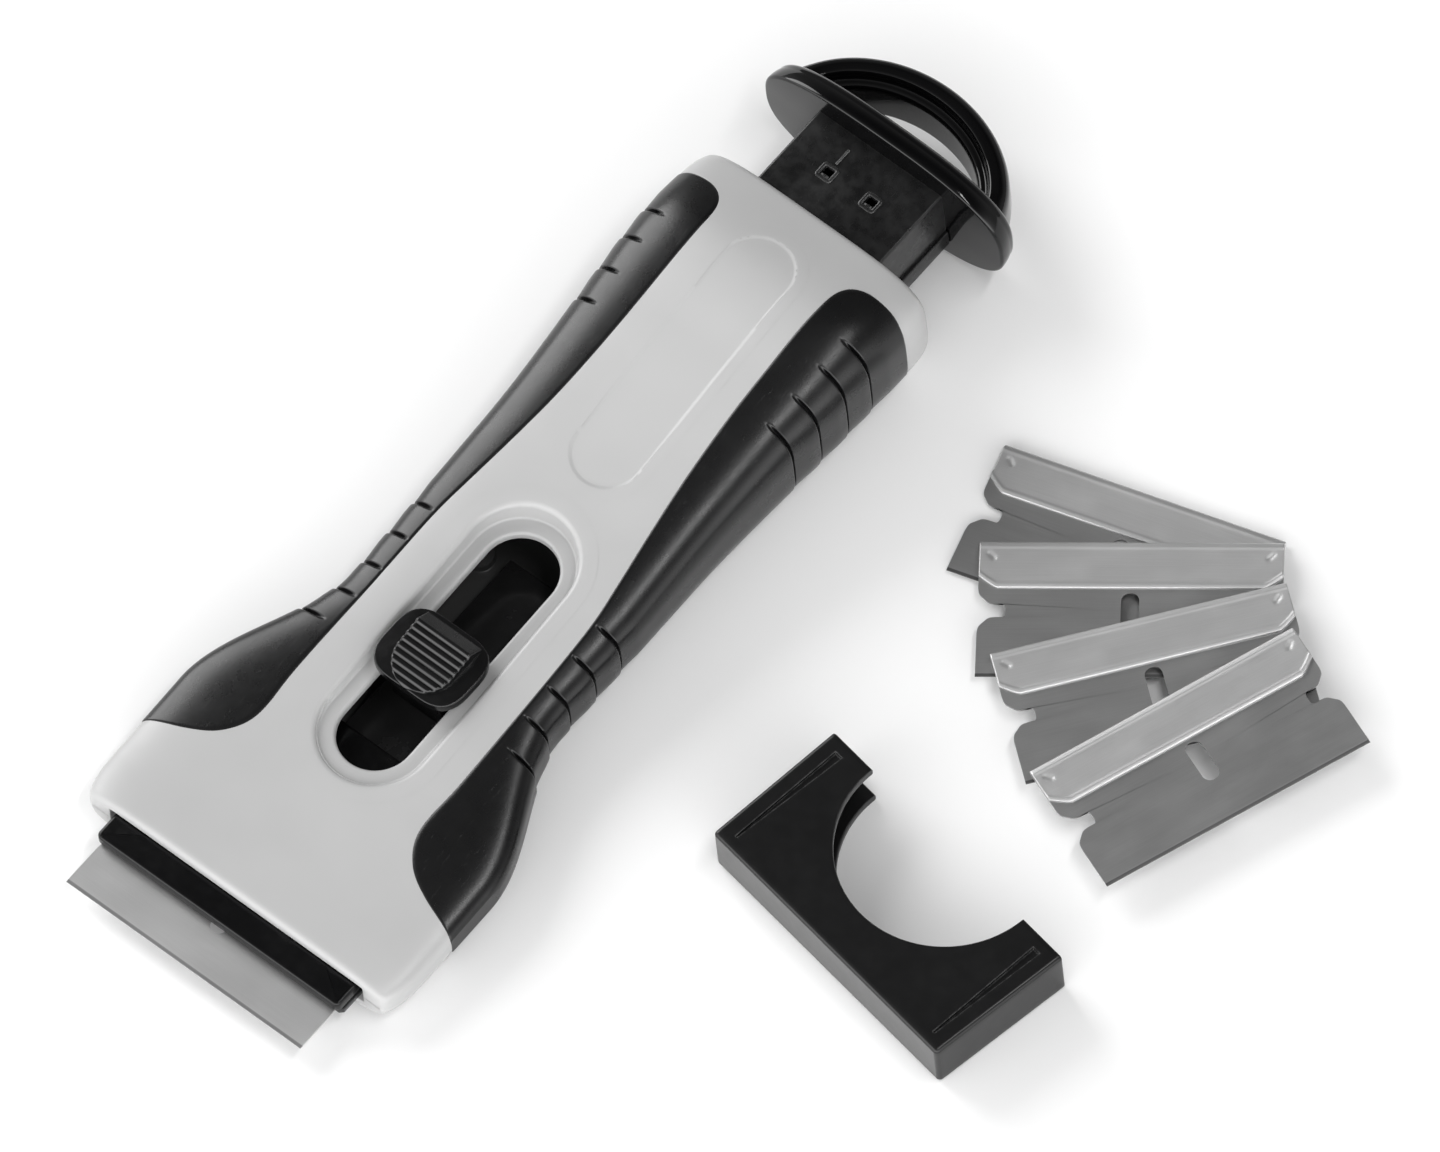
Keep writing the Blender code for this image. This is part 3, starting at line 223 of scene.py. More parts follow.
# Button, with places counted back from the cutting edge
EDGE_PLACE = FRONT - 10.3
PAD_FRONT = EDGE_PLACE + 43.6
SKIRT_HALF_LENGTH = 5.4
SKIRT_MIDDLE = PAD_FRONT + SKIRT_HALF_LENGTH
SKIRT_HALF_WIDTH = 6.8
SKIRT_CORNER = 4.25
SKIRT_BOTTOM = 10.5
SKIRT_TOP = 11.9
SKIRT_EDGE = 0.2
PAD_LENGTH = 10.0
PAD_HALF_WIDTH = 4.4
PAD_FRONT_HEIGHT = 12.3
PAD_REAR_HEIGHT = 13.7
PAD_TAIL_LENGTH = 1.6
PAD_TAIL_DROP = 1.4
PAD_EDGE = 0.35
PAD_SEAT = 0.4
RIB_COUNT = 9
RIB_DEPTH = 0.36
RIB_RISE_SHARE = 0.32
RIB_CREST_SHARE = 0.66
RIB_SOFTENING = 0.09
STEM_MIDDLE = EDGE_PLACE + 49.0
STEM_HALF_WIDTH = 4.2
STEM_HALF_LENGTH = 3.5
STEM_SEAT = 0.6
STEM_EDGE = 0.2
STEM_BOTTOM = 3.25
PEG_HALF = 1.5
PEG_BOTTOM = 1.9

# Clamp, as half widths and places behind the cutting edge
CLAMP_HALF = 19.7
CLAMP_FRONT = 6.6
CLAMP_CHAMFER = 0.5
CLAMP_WIDE_END = 19.6
CLAMP_TAPER_END = 38.0
CLAMP_TAPER_SHARES = ((0.24, 0.70), (0.57, 0.33), (1, 0))
CLAMP_CORNER = 0.35
CLAMP_EDGE = 0.45
CLAMP_REAR_HALF = 11.0
CLAMP_BOTTOM = 3.2
CLAMP_TOP = 5.0

# Blades
BLADE_HALF = 19.05
BLADE_WIDTH = 19.05
PLATE_HALF = 0.125
PLATE_EDGE_HALF = 0.025
GRIND = 0.5
SPINE_WIDTH = 6.6
SPINE_HALF = 0.525
SPINE_BEAD = 0.06
SPINE_CHAMFER = 1.7
SPINE_CHAMFER_RUN = 2.4
SPINE_END_ROUND = 0.12
SPINE_TUCK = 0.1
BEAD_RUN = 0.25
BACK_BEAD_PLACE = 0.8
FRONT_BEAD_PLACE = 0.5
FOLD_LIP = ((0.36, 0), (0.14, 0.01), (0.06, 0.04), (0.02, 0.08), (0, 0.12))
FOLD_GAP = 0.03
NOTCH_PLACE = 9.7
NOTCH_DEPTH = 3.5
NOTCH_MOUTH = 4.8
NOTCH_THROAT = 1.9
HOLE_RADIUS = 1.15
HOLE_HALF = 3.05
HOLE_MIDDLE = -10.15
PLATE_BACK = 0.4
PLATE_ROUND = 0.02
NOTCH_RADII = (0.2, 1.1, 0.3, 0.9, 0.3, 0.95, 0.95, 0.3, 0.9, 0.3, 1.1, 0.03)
RING_SHARES = (0, 0.02, 0.3, 0.6, 0.8, 0.83, 0.87, 0.91, 0.95, 0.98, 1)
CRIMP_DEPTH = 0.09
CRIMP_PLACE = (1.6, 2.1)
CRIMP_SIZE = (0.7, 0.36)
WORKING_PLACE = (0.0, EDGE_PLACE + BLADE_WIDTH, 3.025, 0.0)
SPARE_PLACES = ((32.9, 53.1, 16.7), (39.6, 40.1, 37.6), (51.1, 28.2, 53.3), (66.0, 18.0, 70.2))
LAYER = 1.1

# Guard
GUARD_HALF = 21.15
GUARD_FLARE = 0.5
GUARD_BACK = -10.2
GUARD_MOUTH = 10.2
GUARD_HEIGHT = 7.9
GUARD_WALL = 1.2
GUARD_CUT_RADIUS = 14.3
GUARD_CORNER = 0.6
GUARD_RIM = 0.3
GUARD_INNER_CORNER = 0.25
GUARD_CENTRE = (64.4, -7.6)
GUARD_TURN = -9.27
GUARD_GROOVE_DEPTH = 0.35
GUARD_GROOVE_INSET = 2.3
GUARD_GROOVE_WIDTH = 1.3
GROOVE_SIDE = 0.16
GROOVE_START = -8.5
GROOVE_STOP = 8.5
GROOVE_COLUMNS = (14.3, 17.0, 17.16, 18.69, 18.85, 20.55)

# Camera, from the picture's own scale and angles
LENS = 1200.0
SENSOR = 36.0
CAMERA_AZIMUTH = 46.026
CAMERA_ELEVATION = 61.470
CAMERA_ROLL = -7.111
CAMERA_TARGET = (19.530, 14.034, 8.0)
CAMERA_DISTANCE = 5977.876

# Studio, in metres and watts
FLOOR_REACH = 3.0
FLOOR_HEIGHT = -0.0001
WORLD_LOW = 2.0
WORLD_HIGH = 0.16
WORLD_HEIGHT_RANGE = (0.28, 0.8)
WORLD_DEPTH_RANGE = (-0.6, 0.7)
WORLD_SIDE_RANGE = (-0.85, -0.2)
WORLD_FRONT_SHARE = 2.2
WORLD_BACK_SHARE = 0.2
WORLD_LEFT_SHARE = 0.45
LIGHT_TARGET = (0.02, 0.0, 0.0)
FLOOR_TONES = ((0.90, 0.90, 0.90), (0.915, 0.915, 0.915))
LIGHTS = (
    ("key", (-0.85, 0.12, 0.5), (0.7, 0.7), 7.0),
    ("shoulder", (0.36, 0.12, 0.88), (0.7, 0.05), 2.4),
)


def grey(value, blue=0.0002):
    """A grey with a trace of blue."""
    return (value, value, value + blue)


# Near-black painted on the inner side of every plastic: painted shade for the inside of the closed body.
PAINTED_INSIDE_SHADE = grey(0.05, 0)
PLASTIC_WEAR_AND_GLINT_RADIUS = 0.00028
STEEL_GLINT_RADIUS = 0.00016

# Plastics: dark, light and edge colour (wear, and on frame and guard a painted highlight), roughness and its
# spread, edge amount, fine and wide grain, depth, specular
PLASTICS = {
    "shell_grey": (grey(0.392, 0), grey(0.412, 0), grey(0.6, 0), 0.36, 0.03, 0.5, 3400.0, 45.0, 0.004, 0.5),
    "grip_rubber": (
        grey(0.003), grey(0.0045, 0.0003), grey(0.03, 0.001), 0.28, 0.015, 0.5, 2600.0, 90.0, 0.008, 0.42,
    ),
    "button_black": (grey(0.002), grey(0.0035), grey(0.012, 0), 0.24, 0.02, 0.3, 3000.0, 120.0, 0.004, 0.5),
    "clamp_black": (grey(0.0015), grey(0.003), grey(0.02, 0), 0.20, 0.04, 0.4, 2800.0, 100.0, 0.002, 0.3),
    "carriage_black": (grey(0.01), grey(0.014), grey(0.03, 0), 0.20, 0.04, 0.4, 2800.0, 100.0, 0.002, 0.35),
    "store_black": (grey(0.003), grey(0.008), grey(0.03, 0), 0.30, 0.06, 0.5, 2400.0, 130.0, 0.006, 0.5),
    # Frames and bead are painted lighter than the lid, and their edges far lighter: painted highlights for
    # glints on their bevels.
    "frame_painted_glint": (grey(0.01), grey(0.02), grey(0.2, 0), 0.28, 0.05, 1.0, 2400.0, 130.0, 0.004, 0.5),
    "cap_gloss": (grey(0.0015), grey(0.0025), grey(0.01, 0), 0.08, 0.02, 0.3, 900.0, 80.0, 0.0006, 0.36),
    # The guard's lighter edges are partly wear and partly painted highlight along its edges.
    "guard_black": (grey(0.0032), grey(0.0042), grey(0.1, 0), 0.30, 0.015, 0.8, 2600.0, 110.0, 0.004, 0.45),
}

# A light grey painted along the steels' edges: a painted highlight.
PAINTED_EDGE_GLINT = grey(0.85, 0.01)

# Steels: dark and light colour, the ground band's colour (painted darker as its facet's shade), roughness and
# its spread, own map or not, depth
STEELS = {
    "working_steel": (grey(0.58, 0), grey(0.66, 0), grey(0.3, 0), 0.42, 0.015, True, 0.0008),
    "blade_steel": (grey(0.34, 0), grey(0.42, 0), grey(0.12, 0), 0.42, 0.015, True, 0.0008),
    "spine_steel": (grey(0.57, 0), grey(0.68, 0), None, 0.45, 0.015, True, 0.0015),
    "screw_steel": (grey(0.3, 0.01), grey(0.42, 0.01), None, 0.32, 0.05, False, 0.002),
}


def ease(share):
    """Smooth step: 3 s squared less 2 s cubed, with s held between 0 and 1."""
    share = np.clip(share, 0, 1)
    return share * share * (3 - 2 * share)


def quarter(count):
    """Pairs of sine and cosine over a quarter turn."""
    turns = np.linspace(0, np.pi / 2, count)
    return list(zip(np.sin(turns), np.cos(turns)))


def superellipse(turns, power):
    """The curve on which both coordinates' powers sum to 1, read at the given turns."""
    c = np.cos(turns)
    s = np.sin(turns)
    reach = (np.abs(c) ** power + np.abs(s) ** power) ** (-1 / power)
    return c * reach, s * reach


def curve_through(table, share):
    """A curve through the table's points, cubic between two points, with harmonic mean slopes."""
    xs, ys = np.array(table, float).T
    steps = np.diff(ys) / np.diff(xs)
    before, after = steps[:-1], steps[1:]
    product = before * after
    inner = np.where(product > 0, 2 * product / np.where(product > 0, before + after, 1), 0)
    slopes = np.concatenate([steps[:1], inner, steps[-1:]])
    share = np.clip(share, xs[0], xs[-1])
    k = np.clip(np.searchsorted(xs, share, side="right") - 1, 0, len(xs) - 2)
    span = xs[k + 1] - xs[k]
    t = (share - xs[k]) / span
    rise = ys[k + 1] - ys[k]
    start = span * slopes[k]
    end = span * slopes[k + 1]
    return ys[k] + t * (start + t * ((3 * rise - 2 * start - end) + t * (start + end - 2 * rise)))


def rounding(distance, length, inset):
    """How far a quarter ellipse of this length and depth lies inside its corner."""
    left = np.clip(1 - distance / length, 0, 1)
    return inset * (1 - np.sqrt(1 - left * left))


def half_width(y):
    """Half the housing's width: cheek, waist and tail joined by smooth steps, less the corner roundings."""
    share = (y - FRONT) / HOUSING_LENGTH
    narrowing = ease((share - CHEEK_END_SHARE) / (WAIST_START_SHARE - CHEEK_END_SHARE))
    widening = ease((share - WAIST_END_SHARE) / (TAIL_START_SHARE - WAIST_END_SHARE))
    width = CHEEK_HALF_WIDTH - (CHEEK_HALF_WIDTH - WAIST_HALF_WIDTH) * narrowing
    width = width + (TAIL_HALF_WIDTH - WAIST_HALF_WIDTH) * widening
    width = width - rounding(y - FRONT, FRONT_CORNER_LENGTH, FRONT_CORNER_INSET)
    return width - rounding(REAR - y, REAR_CORNER_LENGTH, REAR_CORNER_INSET)


def crown(y):
    """Height of the top along the middle: the nose height plus the hump's curve, less the end roundings."""
    height = NOSE_HEIGHT + HUMP_RISE * curve_through(RISE_SHARES, (y - FRONT) / HOUSING_LENGTH)
    height = height - rounding(y - FRONT, EDGE_ROUND, EDGE_ROUND)
    return height - rounding(REAR - y, EDGE_ROUND, EDGE_ROUND)


def belt(y):
    """Height at which the housing is widest."""
    return curve_through(WIDEST_SHARES, (y - FRONT) / HOUSING_LENGTH) * crown(y)


def on_form(y, turn):
    """A point of the outer form: a superellipse over the belt, a deeper one under it, and a flat foot."""
    above = np.sin(turn) >= 0
    across, up = superellipse(turn, np.where(above, UPPER_POWER, LOWER_POWER))
    middle = belt(y)
    rise = np.where(above, crown(y) - middle, middle * UNDER_DEPTH_SHARE)
    return np.stack([half_width(y) * across, y + 0 * across, np.maximum(middle + rise * up, 0)], -1)


def turn_at(x, y, above=True):
    """The turn at which the form has this x: the inverse of on_form's first coordinate."""
    power = UPPER_POWER if above else LOWER_POWER
    across = np.clip(np.abs(x) / half_width(y), 0, 1)
    up = (1 - across**power) ** (1 / power)
    turn = np.arctan2(up if above else -up, across)
    return np.where(x >= 0, turn, np.pi - turn)


def parting_turn(y):
    """How far under the belt the parting plane meets the form, as a turn."""
    middle = belt(y)
    down = np.clip((middle - PARTING_HEIGHT) / (middle * UNDER_DEPTH_SHARE), 0, 1)
    return np.arctan2(down, (1 - down**LOWER_POWER) ** (1 / LOWER_POWER))


def top_height(x, y):
    """Height of the form's upper side over a plan point."""
    return on_form(y, turn_at(x, y))[..., 2]


def ledge(y):
    """Height of the dish's sloping floor."""
    dish_half_length = SLOT_HALF_LENGTH + DISH_MARGIN
    share = (y - SLOT_MIDDLE + dish_half_length) / (2 * dish_half_length)
    return LEDGE_FRONT_HEIGHT + (LEDGE_REAR_HEIGHT - LEDGE_FRONT_HEIGHT) * share


def obround_distance(x, y, half_wide, half_long, middle):
    """Distance outside an obround along Y, negative inside it."""
    along = np.maximum(np.abs(y - middle) - (half_long - half_wide), 0)
    return np.hypot(x, along) - half_wide


def obround(half_wide, half_long, middle, count):
    """Points and outward directions evenly spaced round an obround along Y: an arc and a side, twice."""
    straight = half_long - half_wide
    arc = np.pi * half_wide
    half_way = arc + 2 * straight
    turn_back, walk = np.divmod((np.arange(count) + 0.5) / count * 2 * half_way, half_way)
    angle = turn_back * np.pi + np.minimum(walk, arc) / half_wide
    end = (1 - 2 * turn_back) * (straight - np.maximum(walk - arc, 0))
    out = np.stack([np.cos(angle), np.sin(angle)], -1)
    return out * half_wide + np.stack([0 * end, middle + end], -1), out


def spline(points, steps):
    """Catmull-Rom curve through the points, as one array."""
    p = np.array(points, float)
    p = np.concatenate([p[:1], p, p[-1:]])
    a, b, c, d = p[:-3, None], p[1:-2, None], p[2:-1, None], p[3:, None]
    t = (np.arange(steps) / steps)[None, :, None]
    line = 0.5 * (2 * b + t * (c - a + t * (2 * a - 5 * b + 4 * c - d + t * (3 * b - a - 3 * c + d))))
    return np.concatenate([line.reshape(-1, p.shape[1]), p[-2:-1]])


def quads(rows, columns, closed=False):
    """Faces of a grid, which face along the rows' direction crossed with the columns' direction."""
    i = np.arange(rows - 1)[:, None] * columns
    j = np.arange(columns if closed else columns - 1)[None, :]
    k = (j + 1) % columns
    return np.stack([i + j, i + columns + j, i + columns + k, i + k], -1).reshape(-1, 4)


class Surface:
    """Collects grids of points into one mesh."""

    def __init__(self):
        self.points = []
        self.faces = []
        self.count = 0

    def add(self, points, faces, flip):
        self.faces.append((faces[:, ::-1] if flip else faces) + self.count)
        self.points.append(points)
        self.count += len(points)
        return self

    def grid(self, points, closed=False, flip=False, keep=None):
        """Adds a grid, or only those of its faces that a mask keeps."""
        faces = quads(*points.shape[:2], closed)
        return self.add(points.reshape(-1, 3), faces if keep is None else faces[keep], flip)

    def fan(self, ring, centre, flip=False):
        """Closes a ring of points with a fan about a centre."""
        i = np.arange(len(ring))
        last = np.full(len(ring), len(ring))
        return self.add(np.concatenate([ring, [centre]]), np.stack([i, np.roll(i, -1), last, last], -1), flip)

    def mesh(self, name, sharp):
        """One mesh of all the grids, whose points that meet are merged."""
        faces = np.concatenate(self.faces)
        polygons = [list(dict.fromkeys(face)) for face in faces.tolist()]
        made = bpy.data.meshes.new(name)
        made.from_pydata(np.concatenate(self.points) * MM, [], [p for p in polygons if len(p) > 2])
        merge(made)
        made.shade_smooth()
        made.set_sharp_from_angle(angle=math.radians(sharp))
        return made


def merge(mesh, flat_angle=None):
    """Merges points that meet, and joins flat neighbours where an angle is given."""
    shape = bmesh.new()
    shape.from_mesh(mesh)
    bmesh.ops.remove_doubles(shape, verts=shape.verts, dist=1e-6)
    bmesh.ops.dissolve_degenerate(shape, edges=shape.edges, dist=1e-7)
    bmesh.ops.delete(shape, geom=[v for v in shape.verts if not v.link_faces], context="VERTS")
    if flat_angle is not None:
        bmesh.ops.dissolve_limit(shape, angle_limit=flat_angle, verts=shape.verts, edges=shape.edges)
    shape.to_mesh(mesh)
    shape.free()


def piece(name, surface, body, look, stands_for=(), sharp=40):
    """An object for a surface or a mesh, which rides on a body and stands for CAD nodes."""
    mesh = surface.mesh(name, sharp) if isinstance(surface, Surface) else surface
    made = bpy.data.objects.new(name, mesh)
    bpy.context.scene.collection.objects.link(made)
    mesh.materials.clear()
    mesh.materials.append(look)
    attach(made, body)
    if stands_for:
        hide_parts(*stands_for)
    return made


def stations(step):
    """Places along the housing, closer together over the roundings at both ends."""
    curve = 1 - np.cos(np.linspace(0, np.pi / 2, 9))[:-1]
    front = FRONT + np.unique(np.concatenate([EDGE_ROUND * curve, FRONT_CORNER_LENGTH * curve]))
    rear = REAR - np.unique(np.concatenate([EDGE_ROUND * curve, REAR_CORNER_LENGTH * curve]))[::-1]
    start = FRONT + FRONT_CORNER_LENGTH
    end = REAR - REAR_CORNER_LENGTH
    return np.concatenate([front, np.linspace(start, end, int((end - start) / step)), rear])


EDGE_POINTS = [(half * CHEEK_HALF_WIDTH, FRONT + share * HOUSING_LENGTH) for share, half in GRIP_EDGE_SHARES]
GRIP_EDGE = spline(EDGE_POINTS, 12)
GRIP_EDGE = GRIP_EDGE[GRIP_EDGE[:, 0] < half_width(GRIP_EDGE[:, 1])]


def grip_border():
    """The right grip's border, in y and turn: its upper edge, round the flank, and its lower edge."""
    x, y = GRIP_EDGE.T
    upper = turn_at(x, y)
    lower = turn_at(x, y, above=False)
    flank = np.linspace(0, 1, 24)[1:-1]
    rear = np.stack([np.full_like(flank, y[-1]), upper[-1] + (lower[-1] - upper[-1]) * flank], -1)
    front = np.stack([np.full_like(flank, y[0]), lower[0] + (upper[0] - lower[0]) * flank], -1)
    return np.concatenate([np.stack([y, upper], -1), rear, np.stack([y, lower], -1)[::-1], front])


def inside_border(y, turn, border):
    """Whether each point lies inside the border: an odd number of its sides lie beyond the point."""
    a = border
    b = np.roll(border, -1, 0)
    inside = np.zeros(y.shape, bool)
    for (ya, ta), (yb, tb) in zip(a, b):
        crosses = (ya > y) != (yb > y)
        if crosses.any():
            at = ta + (y - ya) / np.where(yb == ya, 1, yb - ya) * (tb - ta)
            inside ^= crosses & (turn < at)
    return inside


def to_border(y, turn, border):
    """Distance to the border, measured along the surface."""
    a = border * (1, TURN_SCALE)
    runs = np.roll(a, -1, 0) - a
    p = np.stack([y, turn * TURN_SCALE], -1).reshape(-1, 1, 2)
    best = np.full(len(p), np.inf)
    for start in range(0, len(a), 64):
        s = a[None, start:start + 64]
        run = runs[None, start:start + 64]
        share = np.clip(((p - s) * run).sum(-1) / np.maximum((run * run).sum(-1), 1e-12), 0, 1)
        gap = np.linalg.norm(s + run * share[..., None] - p, axis=-1)
        best = np.minimum(best, gap.min(1))
    return best.reshape(y.shape)


def outward(grid):
    """Unit normals of a grid: the cross product of its two differences."""
    along = np.gradient(grid, axis=0)
    across = np.gradient(grid, axis=1)
    normal = np.cross(along, across)
    return normal / np.maximum(np.linalg.norm(normal, axis=-1, keepdims=True), 1e-9)


def opening_ring(half, low, high, turns, y):
    """A rounded rectangle at one place along Y: a superellipse of a high power."""
    across, up = superellipse(turns, OPENING_POWER)
    return np.stack([half * across, np.full_like(across, y), (low + high) / 2 + (high - low) / 2 * up], -1)


def with_ends(sheet, turns, mouth, tail):
    """The sheet with rings that turn in at its mouth and its tail, between two heights each."""
    rings = []
    for place, inwards, depth, half, (low, high) in (
        (FRONT, 1, MOUTH_DEPTH, MOUTH_HALF_WIDTH, mouth),
        (REAR, -1, STORE_DEPTH, STORE_HALF_WIDTH, tail),
    ):
        steps = ((depth, 0), (OPENING_EDGE, 0), (OPENING_BEVEL, OPENING_BEVEL), (0, OPENING_EDGE))
        rings.append([])
        for y, grow in steps:
            rings[-1].append(opening_ring(half + grow, low - grow, high + grow, turns, place + inwards * y))
    return np.concatenate([rings[0], sheet, rings[1][::-1]])


def with_lips(sheet, shares):
    """The sheet with a lip turned in along each long edge, at these shares of the seam's rounding."""
    lips = []
    for edge in (sheet[:, 0], sheet[:, -1]):
        inwards = -np.sign(edge[0, 0])
        steps = zip(LIP_INSETS, shares)
        lips.append(np.stack([edge + (inwards * inset, 0, SEAM_ROUND * share) for inset, share in steps], 1))
    return np.concatenate([lips[0], sheet, lips[1][:, ::-1]], 1)


def sunk_under_grips(sheet, y, turn, depth):
    """The sheet, sunk under the grips a little way in from their borders."""
    border = grip_border()
    under = np.where(inside_border(y, turn, border), to_border(y, turn, border), 0)
    return sheet - outward(sheet) * (depth * ease((under - SINK_MARGIN) / SINK_RUN))[..., None]


def face_middles(sheet):
    """The middles of a sheet's faces, as x, y and z."""
    return np.moveaxis((sheet[:-1, :-1] + sheet[1:, 1:]) / 2, -1, 0)


def dish_patch(surface):
    """The dish and the slot as rings round the slot: rim, wall, ledge, edge and slot wall."""
    points, out = obround(SLOT_HALF_WIDTH, SLOT_HALF_LENGTH, SLOT_MIDDLE, 220)
    rows = []

    def ring(reach, height):
        plan = points + out * reach
        rows.append(np.concatenate([plan, height(plan[:, 0], plan[:, 1])[:, None]], 1))

    def rim(reach, drop_share):
        def height(x, y):
            top = top_height(x, y)
            size = np.minimum(DISH_ROUND, DISH_ROUND_LIMIT * (top - ledge(y)))
            return top + PATCH_LIFT - drop_share * size
        ring(reach, height)

    for reach in DISH_SKIRT:
        rim(DISH_MARGIN + reach, 0)
    for s, c in quarter(9):
        rim(DISH_MARGIN + DISH_ROUND * (1 - s), 1 - c)
    for s, c in quarter(6):
        ring(DISH_MARGIN - DISH_DRAFT - DISH_FOOT * (1 - c), lambda x, y: ledge(y) + DISH_FOOT * (1 - s))
    ring(1.0, lambda x, y: ledge(y))
    for s, c in quarter(7):
        ring(SLOT_EDGE * (1 - s), lambda x, y: ledge(y) - SLOT_EDGE * (1 - c))
    ring(0, lambda x, y: ledge(y) - SLOT_WALL)
    ring(0.5, lambda x, y: ledge(y) - SLOT_WALL - 0.1)
    surface.grid(np.array(rows), closed=True, flip=True)


def panel_patch(surface):
    """The bare label panel: a soft step down all round and a floor that follows the housing's top."""
    points, out = obround(PANEL_HALF_WIDTH, PANEL_HALF_LENGTH, PANEL_MIDDLE, 300)
    rows = []

    def ring(reach, drop):
        plan = points + out * reach
        rows.append(np.concatenate([plan, (top_height(*plan.T) + PATCH_LIFT - drop)[:, None]], 1))

    for reach in PANEL_SKIRT:
        ring(reach, 0)
    for share in np.linspace(0, 1, 9):
        ring(PANEL_STEP * (1 - 2 * share), PANEL_DEPTH * ease(share))
    for reach in np.linspace(-0.8, -PANEL_HALF_WIDTH, 7):
        ring(reach, PANEL_DEPTH)
    surface.grid(np.array(rows), closed=True, flip=True)


def build_upper_shell(look):
    """The top shell: the outer form over the parting plane, sunk under the grips, with its dish and panel."""
    ys = stations(SKIN_STEP)
    low = parting_turn(ys)[:, None]
    turns = -low + (np.pi + 2 * low) * np.linspace(0, 1, SKIN_SEGMENTS + 1)
    y = np.broadcast_to(ys[:, None], turns.shape)
    folded = np.where(turns > np.pi / 2, np.pi - turns, turns)
    sheet = with_lips(sunk_under_grips(on_form(y, turns), y, folded, UPPER_SINK), UPPER_LIP_SHARES)
    mouth = (2 * PARTING_HEIGHT - MOUTH_TOP, MOUTH_TOP)
    tail = (2 * PARTING_HEIGHT - STORE_TOP, STORE_TOP)
    sheet = with_ends(sheet, np.linspace(0, np.pi, sheet.shape[1]), mouth, tail)
    x, y, z = face_middles(sheet)
    skin = (z > LEDGE_FRONT_HEIGHT - 1) & (z > 0.6 * crown(y))
    dish_gap = obround_distance(x, y, SLOT_HALF_WIDTH, SLOT_HALF_LENGTH, SLOT_MIDDLE) - DISH_MARGIN
    panel_gap = obround_distance(x, y, PANEL_HALF_WIDTH, PANEL_HALF_LENGTH, PANEL_MIDDLE)
    hidden = skin & ((dish_gap < DISH_COVER) | (panel_gap < PANEL_COVER))
    surface = Surface().grid(sheet, keep=~hidden.reshape(-1))
    dish_patch(surface)
    panel_patch(surface)
    return piece("top_shell", surface, "housing", look, ["upper_housing"])


def build_lower_shell(look):
    """The bottom shell: the outer form under the parting plane, with the screws' sinks."""
    ys = stations(SKIN_STEP * 2)
    low = parting_turn(ys)[:, None]
    turns = np.pi + low + (np.pi - 2 * low) * np.linspace(0, 1, UNDER_SEGMENTS + 1)
    y = np.broadcast_to(ys[:, None], turns.shape)
    folded = np.where(turns > 1.5 * np.pi, turns - TURN, np.pi - turns)
    body = sunk_under_grips(on_form(y, turns), y, folded, LOWER_SINK)
    body[..., 2] = np.maximum(body[..., 2], PATCH_LIFT)
    sheet = with_lips(body, LOWER_LIP_SHARES)
    mouth = (MOUTH_BOTTOM, 2 * PARTING_HEIGHT - MOUTH_BOTTOM)
    tail = (PARTING_HEIGHT - STORE_SILL, PARTING_HEIGHT + STORE_SILL)
    sheet = with_ends(sheet, np.linspace(np.pi, TURN, sheet.shape[1]), mouth, tail)
    x, y, z = face_middles(sheet)
    hidden = np.zeros(x.shape, bool)
    for screw_x, screw_y in SCREW_PLACES:
        hidden |= (np.hypot(x - screw_x, y - screw_y) < SCREW_SINK_RADIUS + SCREW_SINK_COVER) & (z < 1)
    surface = Surface().grid(sheet, keep=~hidden.reshape(-1))
    for screw_x, screw_y in SCREW_PLACES:
        sink_patch(surface, screw_x, screw_y)
    return piece("bottom_shell", surface, "housing", look, ["lower_housing"])


def sink_patch(surface, x, y):
    """A screw's sink in the flat underside: rings of a circle, with a rounded edge and a closed end."""
    turn = np.linspace(0, TURN, 49)[:-1]
    profile = [(reach, 0) for reach in SCREW_SINK_SKIRT]
    profile += [(SCREW_SINK_EDGE * (1 - s), SCREW_SINK_EDGE * (1 - c)) for s, c in quarter(6)]
    profile += [(0, SCREW_SINK_TOP), (-0.9, SCREW_SINK_TOP)]
    rows = []
    for grow, height in profile:
        radius = SCREW_SINK_RADIUS + grow
        rows.append(np.stack([x + radius * np.cos(turn), y + radius * np.sin(turn), 0 * turn + height], -1))
    surface.grid(np.array(rows), closed=True)


def groove_sink(y, turn):
    """Depth of the grooves: a narrow slit at each place, and behind it a shallow tooth that runs out."""
    sink = np.zeros_like(y)
    below_top = np.degrees(np.radians(GROOVE_TOP_TURN) - np.abs(turn))
    slit_end = ease(below_top / SLIT_FADE_TURN)
    tooth_end = ease(below_top / TOOTH_FADE_TURN)
    for share in WAIST_GROOVE_SHARES + TAIL_GROOVE_SHARES:
        past = y - (FRONT + share * HOUSING_LENGTH)
        slit = GROOVE_DEPTH * np.exp(-((past / GROOVE_HALF_WIDTH) ** 2))
        tooth = TOOTH_DEPTH * np.clip(1 - past / TOOTH_RUN, 0, 1) * ease(past / TOOTH_EDGE + 0.5)
        sink = np.maximum(sink, np.maximum(slit * slit_end, tooth * tooth_end))
    return sink


